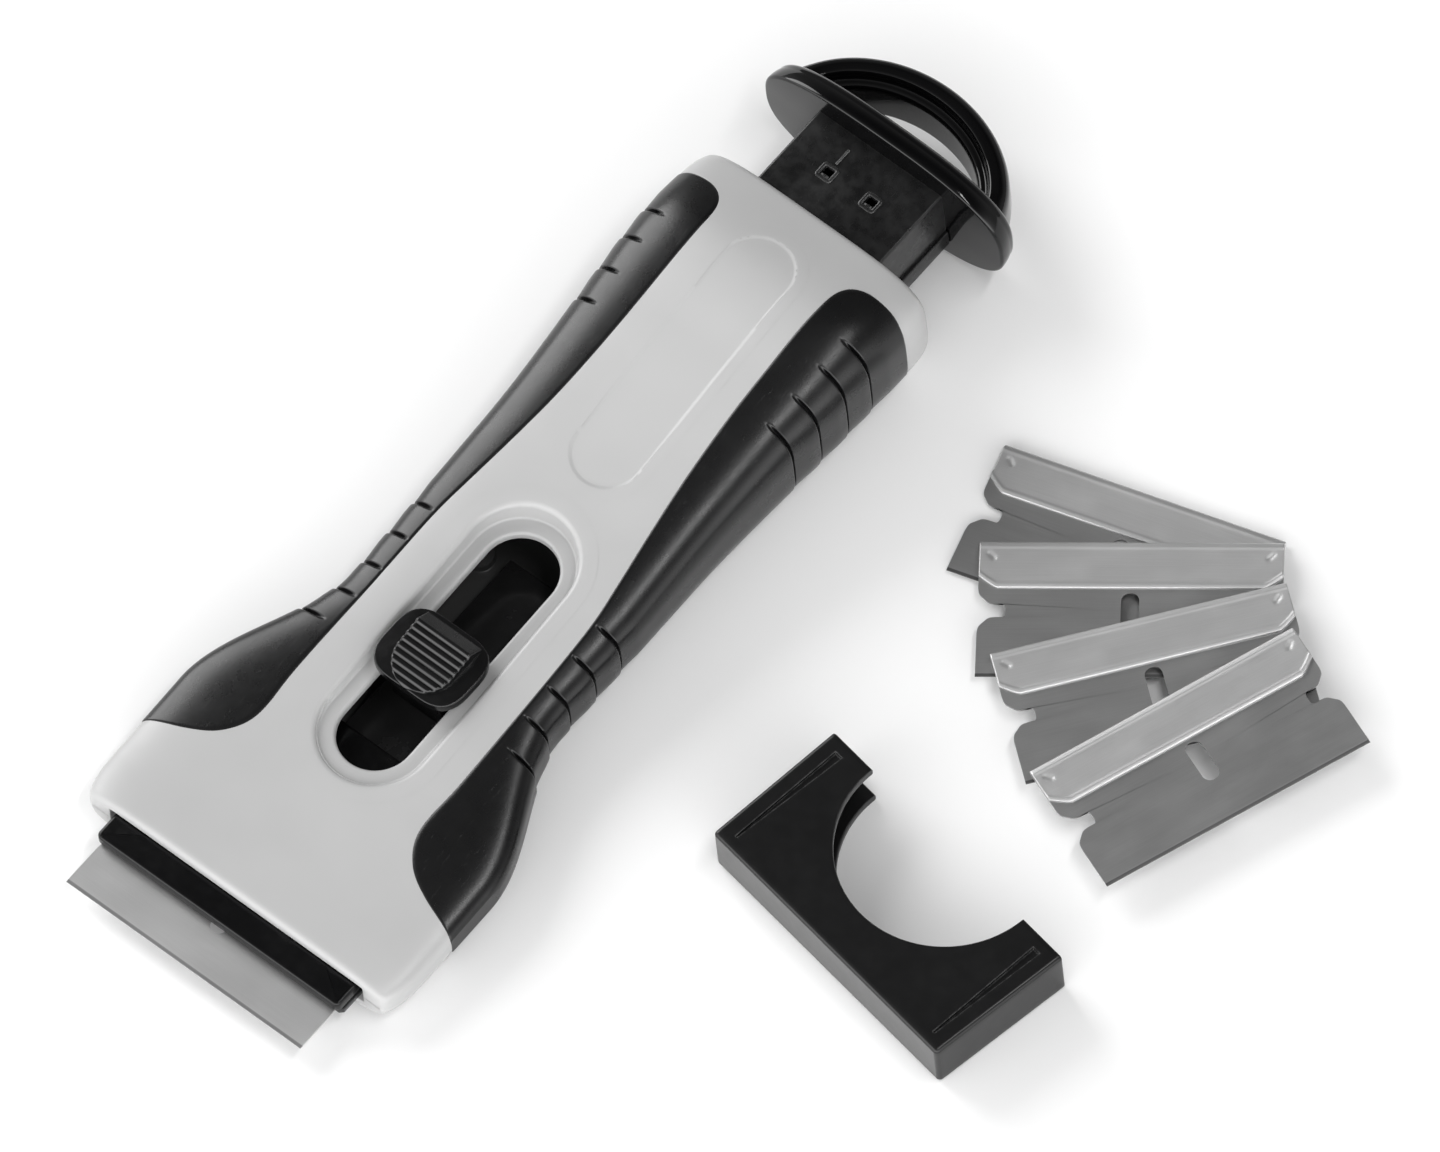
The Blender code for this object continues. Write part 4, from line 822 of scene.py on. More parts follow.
def build_grip(side, look):
    """A soft grip: the outer form between its borders, a little proud, rolled down at the border and grooved.

    One parameter runs along Y, the other from the lower border to the upper one. The last stretch is drawn
    out to the rear border, which lies further back over the top than on the flank.
    """
    x_edge, y_edge = GRIP_EDGE.T
    last = y_edge.argmax()
    inner_x, inner_y = x_edge[:last + 1], y_edge[:last + 1]
    outer_x, outer_y = x_edge[last:], y_edge[last:]
    upper_turn = turn_at(inner_x, inner_y)
    lower_turn = -turn_at(inner_x, inner_y, above=False)
    across = np.sin(np.linspace(-1, 1, 125) * np.pi / 2)

    def reach(y, v):
        return np.where(v >= 0, np.interp(y, inner_y, upper_turn), np.interp(y, inner_y, lower_turn))

    rear_y = np.zeros_like(across)
    for sign in (1, -1):
        outer_turn = turn_at(outer_x, outer_y, above=sign > 0) * sign
        share = np.concatenate([[0], (outer_turn / reach(outer_y, np.full_like(outer_y, sign)))[::-1]])
        place = np.concatenate([outer_y[-1:], outer_y[::-1]])
        rear_y = np.where(across * sign >= 0, np.interp(np.abs(across), share, place), rear_y)

    tail = FRONT + GRIP_TAIL_SHARE * HOUSING_LENGTH
    near_groove = np.concatenate([np.arange(-0.5, 0.5, GROOVE_STEP), [0.7, 1.0]])
    grooves = FRONT + np.array(WAIST_GROOVE_SHARES + TAIL_GROOVE_SHARES) * HOUSING_LENGTH
    dense = (grooves[:, None] + near_groove).reshape(-1)
    front = inner_y[0] + np.linspace(0, 1, 30) ** 1.5 * GRIP_FRONT_RUN
    ys = np.unique(np.concatenate([front, np.arange(front[-1], tail, GRIP_STEP), dense]))
    ys = ys[np.concatenate([[True], np.diff(ys) > 0.02])]
    stretch_out = (1 - (1 - np.linspace(0, 1, 26)[1:]) ** 2)[:, None]
    y = np.concatenate([ys[:, None] + 0 * across, tail + stretch_out * (rear_y - tail)])
    turn = across * reach(y, across + 0 * y)
    shape = on_form(y, turn)
    gap = to_border(y, turn, grip_border())
    sink = rounding(gap, GRIP_ROLL, GRIP_ROLL) + groove_sink(y, turn) * ease(gap / GROOVE_BORDER)
    shape = shape + outward(shape) * (GRIP_PROUD - sink)[..., None]
    low = (-CHEEK_HALF_WIDTH, -HOUSING_LENGTH, 0)
    shape = np.clip(shape, low, (CHEEK_HALF_WIDTH, HOUSING_LENGTH, CAP_TOP))
    if side < 0:
        shape = shape * (-1, 1, 1)
    surface = Surface().grid(shape, flip=side < 0)
    name = "right" if side > 0 else "left"
    return piece(name + "_soft_grip", surface, "housing", look, [name + "_grip"], sharp=50)


def rounded_loop(points, radius, steps=6):
    """A closed line with its corners rounded: a quadratic arc from one side of each corner to the other."""
    p = np.array(points, float)
    radius = np.broadcast_to(np.asarray(radius, float), len(p))[:, None]
    before = np.roll(p, 1, 0) - p
    after = np.roll(p, -1, 0) - p
    first = p + before * np.minimum(radius / np.linalg.norm(before, axis=1, keepdims=True), 0.48)
    last = p + after * np.minimum(radius / np.linalg.norm(after, axis=1, keepdims=True), 0.48)
    t = np.linspace(0, 1, steps)[None, :, None]
    arcs = (1 - t) ** 2 * first[:, None] + 2 * t * (1 - t) * p[:, None] + t**2 * last[:, None]
    return arcs.reshape(-1, p.shape[1])


def densify(line, step):
    """A closed line with its own points and more at equal steps between them."""
    closed = np.concatenate([line, line[:1]])
    walk = np.concatenate([[0], np.cumsum(np.linalg.norm(np.diff(closed, axis=0), axis=1))])
    at = np.unique(np.concatenate([walk, np.arange(0, walk[-1], step)]).round(5))[:-1]
    return np.stack([np.interp(at, walk, closed[:, k]) for k in range(closed.shape[1])], -1)


def outward_of(line):
    """Outward directions of a closed line that runs anticlockwise in X and Y."""
    along = np.roll(line, -1, 0) - np.roll(line, 1, 0)
    out = np.stack([along[:, 1], -along[:, 0]], -1)
    return out / np.maximum(np.linalg.norm(out, axis=1, keepdims=True), 1e-9)


def stacked(surface, line, levels):
    """A closed solid of an anticlockwise outline, drawn in by an inset at each height."""
    out = outward_of(line)
    rows = [np.concatenate([line - out * inset, np.full((len(line), 1), z)], 1) for inset, z in levels]
    surface.grid(np.array(rows), closed=True, flip=True)
    low = line.mean(0)
    surface.fan(rows[0], (*low, levels[0][1]), flip=True)
    surface.fan(rows[-1], (*low, levels[-1][1]))
    return surface


def eased_levels(low, high, edge, steps=6):
    """Insets and heights of a wall whose lower and upper edges are quarter rounds."""
    lower = [(edge * (1 - s), low + edge * (1 - c)) for s, c in quarter(steps)]
    return lower + [(edge * (1 - c), high - edge * (1 - s)) for s, c in quarter(steps)]


def block_line(half_wide, half_long, middle, corner, steps=10):
    """An anticlockwise rounded rectangle."""
    return rounded_loop([(half_wide * a, half_long * b) for a, b in CORNERS], corner, steps) + middle


def cap_ring(y, inset, turns):
    """A superellipse in X and Z, drawn in by an inset."""
    across, up = superellipse(turns, CAP_POWER)
    height = (CAP_TOP + CAP_BOTTOM) / 2 + ((CAP_TOP - CAP_BOTTOM) / 2 - inset) * up
    return np.stack([(CAP_HALF_WIDTH - inset) * across, np.full_like(across, y), height], -1)


def build_cap(look):
    """The end cap: a rounded plate, and a stepped bar carried along half an ellipse behind it."""
    turns = np.linspace(0, TURN, 145)[:-1]
    profile = [(CAP_ROUND * (1 - c), CAP_ROUND * (1 - s)) for s, c in quarter(7)]
    back = CAP_THICKNESS - CAP_BACK_ROUND
    for share in np.linspace(0, 1, 10)[1:-1]:
        profile.append((CAP_ROUND + (back - CAP_ROUND) * share, CAP_TAPER * share * share))
    profile += [(back + CAP_BACK_ROUND * s, CAP_TAPER + CAP_BACK_ROUND * (1 - c)) for s, c in quarter(7)]
    rows = [cap_ring(CAP_FRONT + y, inset, turns) for y, inset in profile]
    surface = Surface().grid(np.array(rows), closed=True)
    middle = (CAP_TOP + CAP_BOTTOM) / 2
    surface.fan(rows[0], (0, CAP_FRONT, middle))
    surface.fan(rows[-1], (0, CAP_FRONT + CAP_THICKNESS, middle), flip=True)

    inner_top = LOOP_HEIGHT - LOOP_STEP
    section = [(LOOP_WIDTH * a, inner_top * b) for a, b in LOOP_BODY]
    section += [(LOOP_WIDTH * a, inner_top + LOOP_STEP * b) for a, b in LOOP_RIM]
    section = rounded_loop(section, LOOP_CORNERS, 7)
    turn = np.linspace(LOOP_ROOT_SHARE, 1 - LOOP_ROOT_SHARE, 97)[:, None] * np.pi
    past_root = np.minimum(turn, np.pi - turn) / np.pi - LOOP_ROOT_SHARE
    swell = LOOP_ROOT_SWELL * (1 - ease(past_root / LOOP_ROOT_RUN))
    middle_height = LOOP_HEIGHT / 2
    inset = section[None, :, 0] + swell * (section[None, :, 0] / LOOP_WIDTH - LOOP_ROOT_SHIFT)
    height = middle_height + (section[None, :, 1] - middle_height) * (1 + swell / middle_height)
    x = (LOOP_HALF_WIDTH - inset) * np.cos(turn)
    y = LOOP_CENTRE + (LOOP_REACH - inset) * np.sin(turn)
    loop = np.stack([x, y, LOOP_BOTTOM + height], -1)
    surface.grid(loop, closed=True, flip=True)
    surface.fan(loop[0], loop[0].mean(0), flip=True)
    surface.fan(loop[-1], loop[-1].mean(0))
    return piece("glossy_cap", surface, "store", look, ["rear_cap"], sharp=32)


def rib_height(y):
    """The pad's side view: ribs that climb to the rear and a sloping tail, with softened corners."""
    pitch = (PAD_LENGTH - PAD_TAIL_LENGTH) / RIB_COUNT
    climb = (PAD_REAR_HEIGHT - PAD_FRONT_HEIGHT) / RIB_COUNT
    rib = np.arange(RIB_COUNT)[:, None]
    at = (pitch * (rib + (0, RIB_RISE_SHARE, RIB_CREST_SHARE))).reshape(-1)
    top = (PAD_FRONT_HEIGHT + climb * rib + (-RIB_DEPTH, 0, 0)).reshape(-1)
    tail = PAD_LENGTH - PAD_TAIL_LENGTH
    at = np.concatenate([at, [tail, PAD_LENGTH]])
    top = np.concatenate([top, [PAD_REAR_HEIGHT - RIB_DEPTH, PAD_REAR_HEIGHT - PAD_TAIL_DROP]])
    offsets = np.linspace(-RIB_SOFTENING, RIB_SOFTENING, 7)
    return np.mean([np.interp(y - PAD_FRONT + offset, at, top) for offset in offsets], 0)


def build_button(look):
    """The thumb button: a ribbed pad with a round front on a wide skirt, on a stem and a peg."""
    surface = Surface()
    skirt = block_line(SKIRT_HALF_WIDTH, SKIRT_HALF_LENGTH, (0, SKIRT_MIDDLE), SKIRT_CORNER)
    stacked(surface, skirt, eased_levels(SKIRT_BOTTOM, SKIRT_TOP, SKIRT_EDGE))
    stem = block_line(STEM_HALF_WIDTH, STEM_HALF_LENGTH, (0, STEM_MIDDLE), 0.4)
    stacked(surface, stem, eased_levels(STEM_BOTTOM, SKIRT_BOTTOM + STEM_SEAT, STEM_EDGE, 3))
    peg = block_line(PEG_HALF, PEG_HALF, (0, STEM_MIDDLE), 0.3)
    stacked(surface, peg, eased_levels(PEG_BOTTOM, SKIRT_BOTTOM, STEM_EDGE, 3))

    front = PAD_HALF_WIDTH * (1 - np.cos(np.linspace(0, np.pi / 2, 60)))
    y = PAD_FRONT + np.concatenate([front[1:], np.linspace(PAD_HALF_WIDTH, PAD_LENGTH, 110)[1:]])
    away = np.clip(PAD_HALF_WIDTH - (y - PAD_FRONT), 0, PAD_HALF_WIDTH)
    half = np.sqrt(np.maximum(PAD_HALF_WIDTH**2 - away**2, 0))
    low = SKIRT_TOP - PAD_SEAT
    edge = np.minimum(PAD_EDGE, half)[:, None]
    turn = np.linspace(0, np.pi / 2, 7)[None]
    top = rib_height(y)[:, None]
    across = np.linspace(-1, 1, 25)[None, 1:-1]
    left_x = -half[:, None] + edge * (1 - np.cos(turn))
    left_z = top - edge * (1 - np.sin(turn))
    wall_x = -half[:, None] + 0 * turn[:, :1]
    x = np.concatenate([wall_x, left_x, (half[:, None] - edge) * across, -left_x[:, ::-1], -wall_x], 1)
    z = np.concatenate([low + 0 * wall_x, left_z, top + 0 * across, left_z[:, ::-1], low + 0 * wall_x], 1)
    pad = np.stack([x, np.broadcast_to(y[:, None], x.shape), z], -1)
    tip = np.stack([0 * x[:1], np.full_like(x[:1], PAD_FRONT), z[:1]], -1)
    surface.grid(np.concatenate([tip, pad]), flip=True)
    surface.fan(pad[-1], (0, PAD_FRONT + PAD_LENGTH, low), flip=True)
    return piece("ribbed_button", surface, "carriage", look, ["slider_button"], sharp=32)


def guard_ring(half, low, high, corner, count=70):
    """A rounded rectangle in X and Z, closely spaced above and below over the cut-out's ends."""
    bend = np.linspace(0, np.pi / 2, 7)
    arc = GUARD_CUT_RADIUS * np.cos(np.linspace(0, np.pi, count))
    columns = np.arange(len(GROOVE_COLUMNS))
    side = np.interp(np.linspace(columns[-1], 0, 41), columns, GROOVE_COLUMNS)
    side = np.interp(side, (GROOVE_COLUMNS[0], GROOVE_COLUMNS[-1]), (GUARD_CUT_RADIUS, half - corner))[:-1]
    top = np.concatenate([side, arc, -side[::-1]])
    wall = np.linspace(0, 1, 10)[1:-1]
    right = np.full_like(wall, half)
    height = high - low - 2 * corner
    x = [top, -half + corner - corner * np.sin(bend[1:]), -right, -half + corner - corner * np.cos(bend)]
    z = [np.full_like(top, high), high - corner + corner * np.cos(bend[1:]), high - corner - height * wall]
    z += [low + corner - corner * np.sin(bend)]
    x += [-top[1:], half - corner + corner * np.sin(bend[1:])]
    x += [right, half - corner + corner * np.cos(bend[:-1])]
    z += [np.full_like(top[1:], low), low + corner - corner * np.cos(bend[1:]), low + corner + height * wall]
    z += [high - corner + corner * np.sin(bend[:-1])]
    return np.concatenate(x), np.concatenate(z)


def groove_columns(y):
    """Where the columns by a wedge groove lie at one place: cut-out, groove edges and outer corner."""
    share = np.clip((y - GROOVE_START) / (GROOVE_STOP - GROOVE_START), 0, 1)
    outer = GUARD_HALF - GUARD_GROOVE_INSET + GUARD_FLARE * share
    inner = outer - GUARD_GROOVE_WIDTH * (0.25 + 0.75 * share)
    flare = GUARD_FLARE * (y - GUARD_BACK) / (GUARD_MOUTH - GUARD_BACK)
    corner = GUARD_HALF - GUARD_CORNER
    corner += flare * (corner - GUARD_CUT_RADIUS) / (GUARD_HALF - GUARD_CUT_RADIUS)
    return (GUARD_CUT_RADIUS, inner, inner + GROOVE_SIDE, outer - GROOVE_SIDE, outer, corner)


def guard_groove(x, y, columns):
    """Depth of the wedge grooves: narrow at the back and wider to the mouth, with sloping sides."""
    inside = np.minimum(np.abs(x) - columns[1], columns[4] - np.abs(x))
    ends = np.minimum(y - GROOVE_START, GROOVE_STOP - y)
    return GUARD_GROOVE_DEPTH * ease(np.minimum(inside, ends) / GROOVE_SIDE)


def build_guard(look):
    """The blade guard: an outer and an inner tube of rounded rectangles, joined by a mouth with a cut-out."""
    rim = GUARD_RIM
    rows = []

    def mouth(x):
        return GUARD_MOUTH - np.sqrt(np.clip(GUARD_CUT_RADIUS**2 - x * x, 0, None))

    def ring(half, low, high, corner, share, back, pull=0.0, grooved=False):
        x, z = guard_ring(half, low, high, corner)
        level = (z > high - 1e-6) | (z < low + 1e-6)
        end = np.where(level, mouth(x), GUARD_MOUTH) - pull
        y = back + (end - back) * share
        flare = GUARD_FLARE * (y - GUARD_BACK) / (GUARD_MOUTH - GUARD_BACK)
        out = np.clip((np.abs(x) - GUARD_CUT_RADIUS) / (half - GUARD_CUT_RADIUS), 0, 1)
        x = x + np.sign(x) * out * flare
        if grooved:
            place = back + (GUARD_MOUTH - pull - back) * share
            columns = groove_columns(place)
            top = (z > high - 1e-6) & (np.abs(x) > GUARD_CUT_RADIUS)
            drawn = np.sign(x) * np.interp(np.abs(x) - out * flare, GROOVE_COLUMNS, columns)
            x = np.where(top, drawn, x)
            z = z - np.where(top, guard_groove(x, place, columns), 0)
        rows.append(np.stack([x, y, z], -1))

    for s, c in quarter(6):
        inset = GUARD_CORNER * (1 - s)
        corner = max(GUARD_CORNER - inset, 0.02)
        back = GUARD_BACK + GUARD_CORNER * (1 - c)
        ring(GUARD_HALF - inset, inset, GUARD_HEIGHT - inset, corner, 0, back)
    outer_back = GUARD_BACK + GUARD_CORNER
    offsets = np.array([0, GROOVE_SIDE / 2, GROOVE_SIDE])
    places = [np.linspace(outer_back, GUARD_MOUTH - rim, 40), GROOVE_START + offsets, GROOVE_STOP - offsets]
    places = np.unique(np.concatenate(places))
    for share in (places[1:] - outer_back) / (GUARD_MOUTH - rim - outer_back):
        ring(GUARD_HALF, 0, GUARD_HEIGHT, GUARD_CORNER, share, outer_back, pull=rim, grooved=True)
    for s, c in quarter(5)[1:]:
        inset = rim * (1 - c)
        corner = GUARD_CORNER - inset
        ring(GUARD_HALF - inset, inset, GUARD_HEIGHT - inset, corner, 1, outer_back, pull=rim * (1 - s))
    inner = (GUARD_HALF - GUARD_WALL, GUARD_WALL, GUARD_HEIGHT - GUARD_WALL, GUARD_INNER_CORNER)
    inner_back = GUARD_BACK + GUARD_WALL
    for s, c in quarter(5)[:-1]:
        grow = rim * (1 - s)
        grown = (inner[0] + grow, inner[1] - grow, inner[2] + grow, inner[3] + grow)
        ring(*grown, 1, inner_back, pull=rim * (1 - c))
    for share in np.linspace(1, 0, 30):
        ring(*inner, share, inner_back, pull=rim)
    sheet = np.array(rows)
    surface = Surface().grid(sheet, closed=True)
    middle = GUARD_HEIGHT / 2
    surface.fan(sheet[0], (0, GUARD_BACK, middle), flip=True)
    surface.fan(sheet[-1], (0, inner_back, middle))
    mesh = surface.mesh("guard_cover", 32)
    mesh.transform(placed(*GUARD_CENTRE, 0, GUARD_TURN))
    return piece("guard_cover", mesh, "housing", look, ["blade_guard"])


def placed(x, y, z, degrees):
    """A place and a turn about Z, as a matrix in metres."""
    return Matrix.Translation((x * MM, y * MM, z * MM)) @ Matrix.Rotation(math.radians(degrees), 4, "Z")


def plan_map(mesh):
    """A UV map over a blade's own plan: 0 to 1 along its length, and 0 to 1 from its back to its edge."""
    count = len(mesh.vertices)
    places = np.empty(count * 3)
    mesh.vertices.foreach_get("co", places)
    places = places.reshape(-1, 3) / MM
    plan = np.stack([places[:, 0] / (2 * BLADE_HALF) + 0.5, -places[:, 1] / BLADE_WIDTH], -1)
    corners = np.empty(len(mesh.loops), int)
    mesh.loops.foreach_get("vertex_index", corners)
    layer = mesh.uv_layers.new(name="plan")
    layer.uv.foreach_set("vector", plan[corners].reshape(-1))


def plate_mesh(name):
    """A razor plate: rings between its long hole and its notched outline, thinner over the ground edge."""
    half = BLADE_HALF
    throat = NOTCH_THROAT / 2
    mouth = NOTCH_MOUTH / 2
    inner = NOTCH_DEPTH - throat
    flare = (mouth - throat) / 2
    notch = [(0, mouth), (flare, mouth - flare), (2 * flare, throat), (inner, throat), (NOTCH_DEPTH, throat)]
    notch += [(depth, -y) for depth, y in reversed(notch)]
    side = [(half - depth, y - NOTCH_PLACE) for depth, y in notch]
    side = [(half, -PLATE_BACK), *side, (half, -BLADE_WIDTH)]
    points = side + [(-x, y) for x, y in reversed(side)]
    line = densify(rounded_loop(points[::-1], NOTCH_RADII + NOTCH_RADII[::-1], 8), 0.4)
    out = outward_of(line)
    angle = np.unwrap(np.arctan2((line[:, 1] - HOLE_MIDDLE) / BLADE_WIDTH, line[:, 0] / (2 * BLADE_HALF)))
    angle = np.maximum.accumulate(angle)
    ring = obround(HOLE_RADIUS, HOLE_HALF, HOLE_MIDDLE, 300)[0]
    ring_angle = np.arctan2((ring[:, 1] - HOLE_MIDDLE) / HOLE_HALF, ring[:, 0] / HOLE_RADIUS)
    hole = np.stack([np.interp(angle, ring_angle, ring[:, k], period=TURN) for k in (0, 1)], -1)

    def level(plan, sign):
        thin = np.clip((-plan[:, 1] - BLADE_WIDTH + GRIND) / GRIND, 0, 1)
        return sign * (PLATE_HALF - (PLATE_HALF - PLATE_EDGE_HALF) * thin)

    rows = []
    for sign, order in ((-1, RING_SHARES[::-1]), (1, RING_SHARES)):
        for share in order:
            plan = hole + (line - hole) * share
            if share == 1:
                plan = plan - out * PLATE_ROUND
            rows.append(np.concatenate([plan, level(plan, sign)[:, None]], 1))
    rows.append(np.concatenate([line, 0 * line[:, :1]], 1))
    rows.append(rows[0])
    mesh = Surface().grid(np.array(rows), closed=True).mesh(name, 40)
    plan_map(mesh)
    return mesh


def spine_mesh(name):
    """A blade's folded back: a C section carried along it, cut off at its front corners and crimped."""
    half = BLADE_HALF
    ends = SPINE_END_ROUND * (1 - np.cos(np.linspace(0, np.pi / 2, 4)))[1:]
    near = np.linspace(0.2, 4.2, 45)
    x = np.concatenate([-half + ends, -half + near, np.linspace(-half + 4.4, half - 4.4, 60)])
    x = np.concatenate([x, half - near[::-1], half - ends[::-1]])
    from_end = half - np.abs(x)
    reach = SPINE_WIDTH - SPINE_CHAMFER * np.clip(1 - from_end / SPINE_CHAMFER_RUN, 0, 1) ** 1.25
    tuck = SPINE_TUCK * np.clip(1 - from_end / SPINE_END_ROUND, 0, 1) ** 2
    flat = np.linspace(0.03, 0.98, 44)[::-1]
    back = np.linspace(np.pi / 2, 0, 8)
    lip_drop, lip_lean = np.array(FOLD_LIP).T
    share = np.concatenate([np.ones(len(FOLD_LIP)), flat])
    drop = np.concatenate([lip_drop, np.zeros(len(flat))])
    lean_in = np.concatenate([lip_lean, np.full(len(flat), lip_lean[-1])])
    y_top = -share[None] * (reach[:, None] - SPINE_HALF - lean_in[None]) - SPINE_HALF
    z_top = SPINE_HALF - drop[None] - tuck[:, None]
    bead = SPINE_BEAD * np.exp(-(((-y_top - BACK_BEAD_PLACE) / BEAD_RUN) ** 2))
    bead = bead + SPINE_BEAD * np.exp(-(((y_top + reach[:, None] - FRONT_BEAD_PLACE) / BEAD_RUN) ** 2))
    ear_x = from_end[:, None] - CRIMP_PLACE[0]
    ear_y = -y_top - CRIMP_PLACE[1]
    lean = 0.7071
    along = (ear_x + ear_y) * lean / CRIMP_SIZE[0]
    across = (ear_y - ear_x) * lean / CRIMP_SIZE[1]
    crimp = CRIMP_DEPTH * np.exp(-(along**4) - across**2)
    z_top = np.broadcast_to(z_top, y_top.shape) - SPINE_BEAD + bead - crimp
    y_back = -SPINE_HALF + (SPINE_HALF - tuck[:, None]) * np.cos(back)[None]
    z_back = (SPINE_HALF - SPINE_BEAD - tuck[:, None]) * np.sin(back)[None]
    y_upper = np.concatenate([y_top, y_back], 1)
    z_upper = np.concatenate([z_top, z_back], 1)
    y = np.concatenate([y_upper, y_upper[:, -2::-1]], 1)
    z = np.concatenate([z_upper, -z_upper[:, -2::-1]], 1)
    outer = np.stack([np.broadcast_to(x[:, None], y.shape), y, z], -1)
    gap = PLATE_HALF + FOLD_GAP
    inner = np.stack([outer[..., 0], np.minimum(y, -PLATE_BACK), np.clip(z, -gap, gap)], -1)
    surface = Surface().grid(outer).grid(inner, flip=True)
    surface.grid(np.stack([outer[0], inner[0]]), flip=True)
    surface.grid(np.stack([outer[-1], inner[-1]]))
    surface.grid(np.stack([outer[:, 0], inner[:, 0]]))
    surface.grid(np.stack([outer[:, -1], inner[:, -1]]), flip=True)
    mesh = surface.mesh(name, 50)
    plan_map(mesh)
    return mesh


def build_blades(looks):
    """The working blade on its carriage and four spare blades in a fan, each a layer higher than the last."""
    blades = [("working_blade", "carriage", "working_steel", WORKING_PLACE)]
    for i, (x, y, degrees) in enumerate(SPARE_PLACES):
        angle = math.radians(degrees)
        middle = (x + BLADE_HALF * math.cos(angle), y + BLADE_HALF * math.sin(angle))
        place = (*middle, SPINE_HALF + LAYER * i, degrees)
        blades.append((f"spare_blade_{i + 1}", "housing", "blade_steel", place))
    for node, body, look, place in blades:
        plate = plate_mesh(f"{node}_plate")
        fold = spine_mesh(f"{node}_fold")
        plate.transform(placed(*place))
        fold.transform(placed(*place))
        piece(f"{node}_plate", plate, body, looks[look], [node])
        piece(f"{node}_fold", fold, body, looks["spine_steel"], [node + "_spine"])


def build_window_frames(look):
    """Raised frames round the lid's two snap windows, a hook in each, and the bead beside the first."""
    surface = Surface()
    for side in (-1, 1):
        x = side * WINDOW_SPREAD
        line = block_line(FRAME_HALF, FRAME_HALF, (x, WINDOW_MIDDLE), 0.3, 6)
        out = outward_of(line)
        rows = []
        for offset, rise in FRAME_SECTION:
            rows.append(np.concatenate([line + out * offset, np.full((len(line), 1), LID_TOP + rise)], 1))
        surface.grid(np.array(rows), closed=True, flip=True)
        hook = block_line(*HOOK_HALVES, (x, WINDOW_MIDDLE - HOOK_SETBACK), 0.1)
        stacked(surface, hook, [(inset, LID_TOP + rise) for inset, rise in HOOK_LEVELS])
    bead = block_line(*BEAD_HALVES, BEAD_MIDDLE, 0.14)
    stacked(surface, bead, [(inset, LID_TOP + rise) for inset, rise in BEAD_LEVELS])
    return piece("window_frames", surface, "store", look, sharp=50)


def build_lid(look):
    """The store's lid: a box section carried along it, with rounded long edges and front, and two windows."""
    edge = LID_EDGE
    arc = np.linspace(0, np.pi / 2, 7)
    window = [side * WINDOW_SPREAD + offset for side in (-1, 1) for offset in (-WINDOW_HALF, WINDOW_HALF)]
    flat = np.unique(np.concatenate([np.linspace(edge - LID_HALF_WIDTH, LID_HALF_WIDTH - edge, 9), window]))
    left_x = -LID_HALF_WIDTH + edge * (1 - np.cos(arc))
    left_z = LID_TOP - edge * (1 - np.sin(arc))
    x = np.concatenate([[-LID_HALF_WIDTH], left_x, flat[1:-1], -left_x[::-1], [LID_HALF_WIDTH]])
    z = np.concatenate([[LID_BOTTOM], left_z, np.full(len(flat) - 2, LID_TOP), left_z[::-1], [LID_BOTTOM]])
    start = CAP_FRONT - LID_LENGTH
    end = CAP_FRONT - 0.02
    places = [start + edge, *np.linspace(start + 3, end - 1, 7), end, WINDOW_MIDDLE - WINDOW_HALF]
    ys = np.unique(places + [WINDOW_MIDDLE + WINDOW_HALF])
    rows = []
    for a in arc[:-1]:
        inset = edge * (1 - math.sin(a))
        shrink = 1 - inset / LID_HALF_WIDTH
        place = start + edge * (1 - math.cos(a))
        rows.append(np.stack([x * shrink, 0 * x + place, np.minimum(z, LID_TOP - inset)], -1))
    rows = [np.stack([rows[0][:, 0], rows[0][:, 1], 0 * x + LID_BOTTOM], -1), *rows]
    rows += [np.stack([x, 0 * x + y, z], -1) for y in ys]
    rows.append(np.stack([x, 0 * x + end, 0 * x + LID_BOTTOM], -1))
    sheet = np.array(rows)
    x, y, z = face_middles(sheet)
    in_window = np.maximum(np.abs(np.abs(x) - WINDOW_SPREAD), np.abs(y - WINDOW_MIDDLE)) < WINDOW_HALF
    hidden = in_window & (z > LID_TOP - 0.01)
    surface = Surface().grid(sheet, keep=~hidden.reshape(-1), flip=True)
    surface.grid(np.stack([sheet[:, 0], sheet[:, -1]], 1))
    for side in (-1, 1):
        hole = [(WINDOW_HALF * a + side * WINDOW_SPREAD, WINDOW_HALF * b + WINDOW_MIDDLE) for a, b in CORNERS]
        rows = [[(*point, height) for point in hole] for height in (LID_TOP, LID_TOP - LID_SKIN)]
        surface.grid(np.array(rows), closed=True)
    return piece("store_lid", surface, "store", look, ["drawer_lid"], sharp=32)


def build_clamp(look):
    """The clamp bar: the carriage's plan, wide in front and drawn in to the rear, with rounded edges."""
    side = [(CLAMP_HALF - CLAMP_CHAMFER, CLAMP_FRONT), (CLAMP_HALF, CLAMP_FRONT + CLAMP_CHAMFER)]
    side.append((CLAMP_HALF, CLAMP_WIDE_END))
    for length, width in CLAMP_TAPER_SHARES:
        place = CLAMP_WIDE_END + (CLAMP_TAPER_END - CLAMP_WIDE_END) * length
        side.append((CLAMP_REAR_HALF + (CLAMP_HALF - CLAMP_REAR_HALF) * width, place))
    points = side + [(-x, y) for x, y in reversed(side)]
    line = densify(rounded_loop(points, CLAMP_CORNER, 5), 0.8) + (0, EDGE_PLACE)
    surface = stacked(Surface(), line, eased_levels(CLAMP_BOTTOM, CLAMP_TOP, CLAMP_EDGE))
    return piece("clamp_bar", surface, "carriage", look, ["blade_clamp"], sharp=32)


